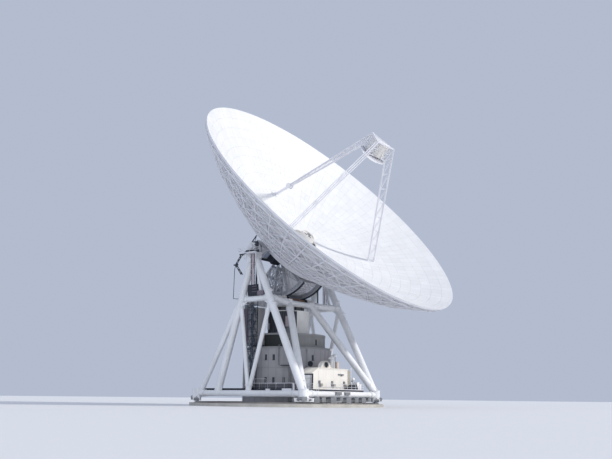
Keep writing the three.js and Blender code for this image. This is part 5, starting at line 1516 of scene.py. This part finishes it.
def build_cable_drum():
    """The cable drum between the building and the mid frame, with pale panels only on its sunlit side, a
    near-black core that paints the shade on the rest, pipes and boxes.
    """
    low, high = WRAP_SPAN
    start, end = WRAP_SUNLIT_PANELS
    core = Piece("cable_drum_core")
    core.lathe(band((0, 4.0), WRAP_SPAN), 96)
    core.lathe(band((0, 3.2), (high, 20.45)), 64)
    for k in range(20):
        core.box((4.0, 4.12), about(0, 0.08), WRAP_SPAN, rotation(62 + 9.4 * k, "Z"))
    core.put("wrap_painted_shade", "cable_wrap")
    shell = Piece("cable_drum_panels")
    shell.lathe(band((4.3, WRAP_RADIUS - 0.06), WRAP_SPAN), 72, None, start, end)
    for k in range(8):
        shell.lathe(band((WRAP_RADIUS - 0.1, WRAP_RADIUS), about(mix(low, high, (k + 0.5) / 8), 0.17)),
                    72, None, start, end)
    for share in (0, 0.2, 0.5, 0.8, 1):
        shell.box((WRAP_RADIUS - 0.08, WRAP_RADIUS + 0.04), about(0, 0.05), WRAP_SPAN,
                  rotation(mix(start, end, share), "Z"))
    for z in (low, high - 0.14):
        shell.lathe(band((3.98, WRAP_RADIUS + 0.02), over(z, 0.14)), 96)
    shell.put("wrap")
    cables = Piece("cable_drum_pipes")
    for k in range(26):
        angle = 70 + 6.6 * k
        foot, top = polar(4.22, angle, low + 0.1), polar(4.22, angle + 9, high - 0.1)
        cables.pipe([foot, foot.lerp(top, 0.35) + Vector((0, 0, 0.3)), top], 0.07)
    for k in range(12):
        spot = polar(3.3, 30 * k + 8, high)
        cables.rod(spot, spot + Vector((0, 0, 0.9)), 0.09, 8)
    cables.put("dark")
    kit = Piece("cable_drum_boxes")
    for angle, z, height in ((196, 0.1, 1.1), (208, 0.2, 0.9), (222, 0.1, 1.2), (233, 2.4, 1.6),
                             (100, 0.4, 1.2), (150, 1.0, 1.3), (180, 3.1, 1.1)):
        kit.box((4.1, 4.46), about(0, 0.5), over(low + z, height), rotation(angle, "Z"))
    kit.put("machine")
    hatch = Piece("cable_drum_hatch")
    hatch.lathe(band((4.2, 4.3), (16.2, 18.4)), 12, None, 212, 222)
    hatch.put("pink")


# Round building, rail and foundation

WALL = 0.35
WALL_STEP = 2.5
MIDDLE_FLOOR = 7.7
LOWER_WINDOWS = (11.5, 22, 35)
MIDDLE_WINDOWS = (11.5, 22, 72.5, 101.5, 112, 162.5, 191.5, 202, 252.5, 317, 327.5, 342.5)
LOWER_SILL = 4.6
MIDDLE_SILL = 9.1
TIER_SILL = 12.4
# Angles of the top storey's near-black arc: partly dark cladding, partly painted shade
TIER_DARK_SHADE = (105, 219)
TIER_WINDOWS = (40, 87, 130, 177, 220, 267, 310, 357)
WINDOW_SIZE = (0.5, 1.1)
LADDER_ANGLE = 208.6
RAIL_HALF = 0.3


def ring_wall(piece, radius, z, openings, edges):
    """A round wall between two angles. Each opening is a window's (angle, sill), the lowest ones first."""
    reach = math.degrees(WINDOW_SIZE[0] / 2 / radius)
    cuts = {*edges, *series(edges[0], WALL_STEP, int((edges[1] - edges[0]) / WALL_STEP))}
    for angle, _ in openings:
        cuts.update(about(angle, reach))
    cuts = sorted(cuts)
    cuts = [cut for i, cut in enumerate(cuts) if i == 0 or cut - cuts[i - 1] > 1e-6]
    for a, b in zip(cuts, cuts[1:]):
        spans = [z]
        for angle, sill in openings:
            if abs((a + b) / 2 - angle) < reach:
                low, high = spans.pop()
                spans += [(low, sill), (sill + WINDOW_SIZE[1], high)]
        for span in spans:
            piece.lathe(band((radius - WALL, radius), span), 1, None, a, b)


def window(frames, panes, radius, angle, sill):
    """A frame with a mullion and a pane in a round wall, with a sill that stands out."""
    half, height = WINDOW_SIZE[0] / 2, WINDOW_SIZE[1]
    turn = rotation(angle, "Z")
    out = radius - 0.12
    frames.box((out - 0.08, out + 0.06), about([0.03 - half, half - 0.03], 0.035), (sill, sill + height),
               turn)
    frames.box((out - 0.08, out + 0.06), about(0, half),
               about([sill + 0.03, sill + height * 0.62, sill + height - 0.03], 0.035), turn)
    frames.box((radius - 0.2, radius + 0.08), about(0, half + 0.06), (sill - 0.06, sill), turn)
    panes.box((out - 0.03, out - 0.01), about(0, half - 0.03), (sill + 0.03, sill + height - 0.03), turn)


def build_walls():
    """The walls of the round building and of its top storey, with their windows."""
    frames = Piece("window_frames", "foundation")
    panes = Piece("window_panes", "foundation")
    for quarter in range(4):
        start, end = 90 * quarter, 90 * quarter + 90
        openings = [(start + angle, LOWER_SILL) for angle in LOWER_WINDOWS]
        openings += [(angle, MIDDLE_SILL) for angle in MIDDLE_WINDOWS if start < angle < end]
        wall = Piece(f"round_wall_{quarter + 1}", "foundation")
        ring_wall(wall, BUILDING_RADIUS, (0.02, BUILDING_TOP), openings, (start, end))
        for angle, sill in openings:
            window(frames, panes, BUILDING_RADIUS, angle, sill)
        wall.put("wall", f"building_wall_{quarter + 1}", crease=30)
    tier = Piece("tier_wall", "foundation")
    # The near-black arc of the top storey is partly painted shade; the rest takes the pale cladding
    dark_tier = Piece("tier_wall_dark_shade", "foundation")
    for part, edges in ((dark_tier, TIER_DARK_SHADE), (tier, (TIER_DARK_SHADE[1], TIER_DARK_SHADE[0] + 360))):
        openings = [(angle + turn, TIER_SILL) for turn in (0, 360) for angle in TIER_WINDOWS
                    if edges[0] < angle + turn < edges[1]]
        ring_wall(part, TIER_RADIUS, (ROOF_SLAB + 0.02, TIER_TOP - 0.2), openings, edges)
    tier.lathe(band((0, TIER_RADIUS - 0.05), (TIER_TOP - 0.3, TIER_TOP - 0.1)), 96)
    tier.put("tier", "upper_tier", crease=30)
    dark_tier.put("tier_dark_shade", crease=30)
    for angle in TIER_WINDOWS:
        window(frames, panes, TIER_RADIUS, angle, TIER_SILL)
    frames.put("dark")
    panes.put("glass")


def build_trims():
    """The seams, plinth, ledges and roof edges of the round building."""
    trims = Piece("wall_trims", "foundation")
    seam = about(0, 0.05)
    for k in range(36):
        trims.box((BUILDING_RADIUS - 0.03, BUILDING_RADIUS + 0.035), seam, (0.6, BUILDING_TOP),
                  rotation(10 * k + 5, "Z"))
    for low, high, out in ((0.05, 0.7, 0.14), (MIDDLE_FLOOR - 0.2, MIDDLE_FLOOR, 0.06), (4.1, 4.16, 0.04),
                           (BUILDING_TOP - 0.1, BUILDING_TOP + 0.12, 0.06)):
        trims.lathe(band((BUILDING_RADIUS - 0.02, BUILDING_RADIUS + out), (low, high)), 144)
    # No seams on the near-black arc of partly painted shade
    for angle in series(7.5, 15, 24):
        if angle < TIER_DARK_SHADE[0] or angle > TIER_DARK_SHADE[1]:
            trims.box((TIER_RADIUS - 0.03, TIER_RADIUS + 0.035), seam, (ROOF_SLAB + 0.1, TIER_TOP - 0.3),
                      rotation(angle, "Z"))
    trims.lathe(band((TIER_RADIUS - 0.3, TIER_RADIUS + 0.12), (TIER_TOP - 0.35, TIER_TOP)), 96)
    trims.put("trim")
    roof = Piece("roof_membranes", "foundation")
    inner, outer = TIER_RADIUS - 0.02, BUILDING_RADIUS - 0.02
    roof.lathe([(inner, BUILDING_TOP + 0.02), (outer, BUILDING_TOP + 0.02), (outer, ROOF_SLAB - 0.04),
                (inner, ROOF_SLAB + 0.04)], 96)
    edge = TIER_RADIUS - 0.32
    roof.lathe([(0, TIER_TOP - 0.12), (edge, TIER_TOP - 0.12), (edge, TIER_TOP - 0.06), (0, TIER_TOP - 0.02)],
               96)
    roof.put("roof", "lower_roof")
    coping = Piece("roof_coping", "foundation")
    coping.lathe(band((BUILDING_RADIUS - 0.25, BUILDING_RADIUS + 0.1), (ROOF_SLAB - 0.1, ROOF_SLAB)), 144)
    coping.put("trim", slot="roof_grey")


def build_wall_kit():
    """The ladder, ledge, fans, pipes and boxes on the wall of the round building."""
    face = BUILDING_RADIUS
    vents = Piece("wall_vents", "foundation")
    fans = Piece("wall_fans", "foundation")
    fans.lathe(band((face - 0.02, face + 0.35), (7.95, 8.1)), 12, None, 211, 223)
    ladder(vents, polar(face + 0.15, LADDER_ANGLE, 8.0), polar(face + 0.15, LADDER_ANGLE, 12.2),
           polar(1, LADDER_ANGLE - 90, 0), 0.3)
    vents.box((face - 0.02, face + 0.19), about(0, 0.19), over([8.2, 10.0, 11.3], 0.06),
              rotation(LADDER_ANGLE, "Z"))
    for angle, z in ((248.7, 8.45), (20, 9.6), (110, 8.45)):
        turn = rotation(angle, "Z")
        fans.rod((face - 0.02, 0, z), (face + 0.16, 0, z), 0.56, 32, place=turn)
        fans.rod((face + 0.16, 0, z), (face + 0.2, 0, z), 0.46, 32, place=turn)
    for angle in (221, 223.2, 243, 60, 150, 330):
        turn = rotation(angle, "Z")
        vents.rod((face + 0.12, 0, 0.7), (face + 0.12, 0, 11.3), 0.06, 10, place=turn)
        vents.box((face, face + 0.2), about(0, 0.1), over([2, 5, 8, 11], 0.06), turn)
    for angle, z in ((230, 1.3), (252, 1.5), (75, 1.4)):
        vents.box((face, face + 0.35), about(0, 0.5), over(z, 1.2), rotation(angle, "Z"))
    vents.put("machine")
    fans.put("dark")


def build_track():
    """Rail joints, clips and sole plates along the round rail."""
    joints = Piece("rail_joints", "foundation")
    for k in range(24):
        turn = rotation(15 * k + 3, "Z") @ shift(TRACK_RADIUS, 0, 0)
        joints.box(about(0, RAIL_HALF + 0.001), about(0, 0.012), (0.6, 0.856), turn)
        joints.box([(-0.36, -RAIL_HALF), (RAIL_HALF, 0.36)], about(0, 0.35), (0.64, 0.8), turn)
    joints.put("machine")
    clips = Piece("rail_clips", "foundation")
    clips.lathe(band(about(TRACK_RADIUS, 0.62), (0.59, 0.64)), 144)
    for k in range(144):
        turn = rotation(2.5 * k, "Z") @ shift(TRACK_RADIUS, 0, 0)
        clips.box([(-0.5, -RAIL_HALF), (RAIL_HALF, 0.5)], about(0, 0.09), (0.63, 0.7), turn)
        for off in (-0.42, 0.42):
            clips.rod((off, 0, 0.68), (off, 0, 0.77), 0.035, place=turn)
    clips.put("rail")


for build in (dress_cad_nodes, build_stage, build_light, build_camera,
              build_reflector, build_backup, build_rim, build_tripod, build_top_frame, build_subreflector,
              build_subreflector_housing, build_feed_cone, build_hub, build_axle_beam, build_gear,
              build_counterweight, build_towers, build_bearings, build_tower_platforms, build_mid_frame,
              build_elevation_drive, build_ring_legs, build_base_beams, build_bogies,
              build_platform, build_beam_kit, build_cabin, build_air_shroud, build_cabin_roof_kit,
              build_side_walkway, build_stairs, build_shaft, build_cable_drum,
              build_walls, build_trims, build_wall_kit, build_track):
    build()
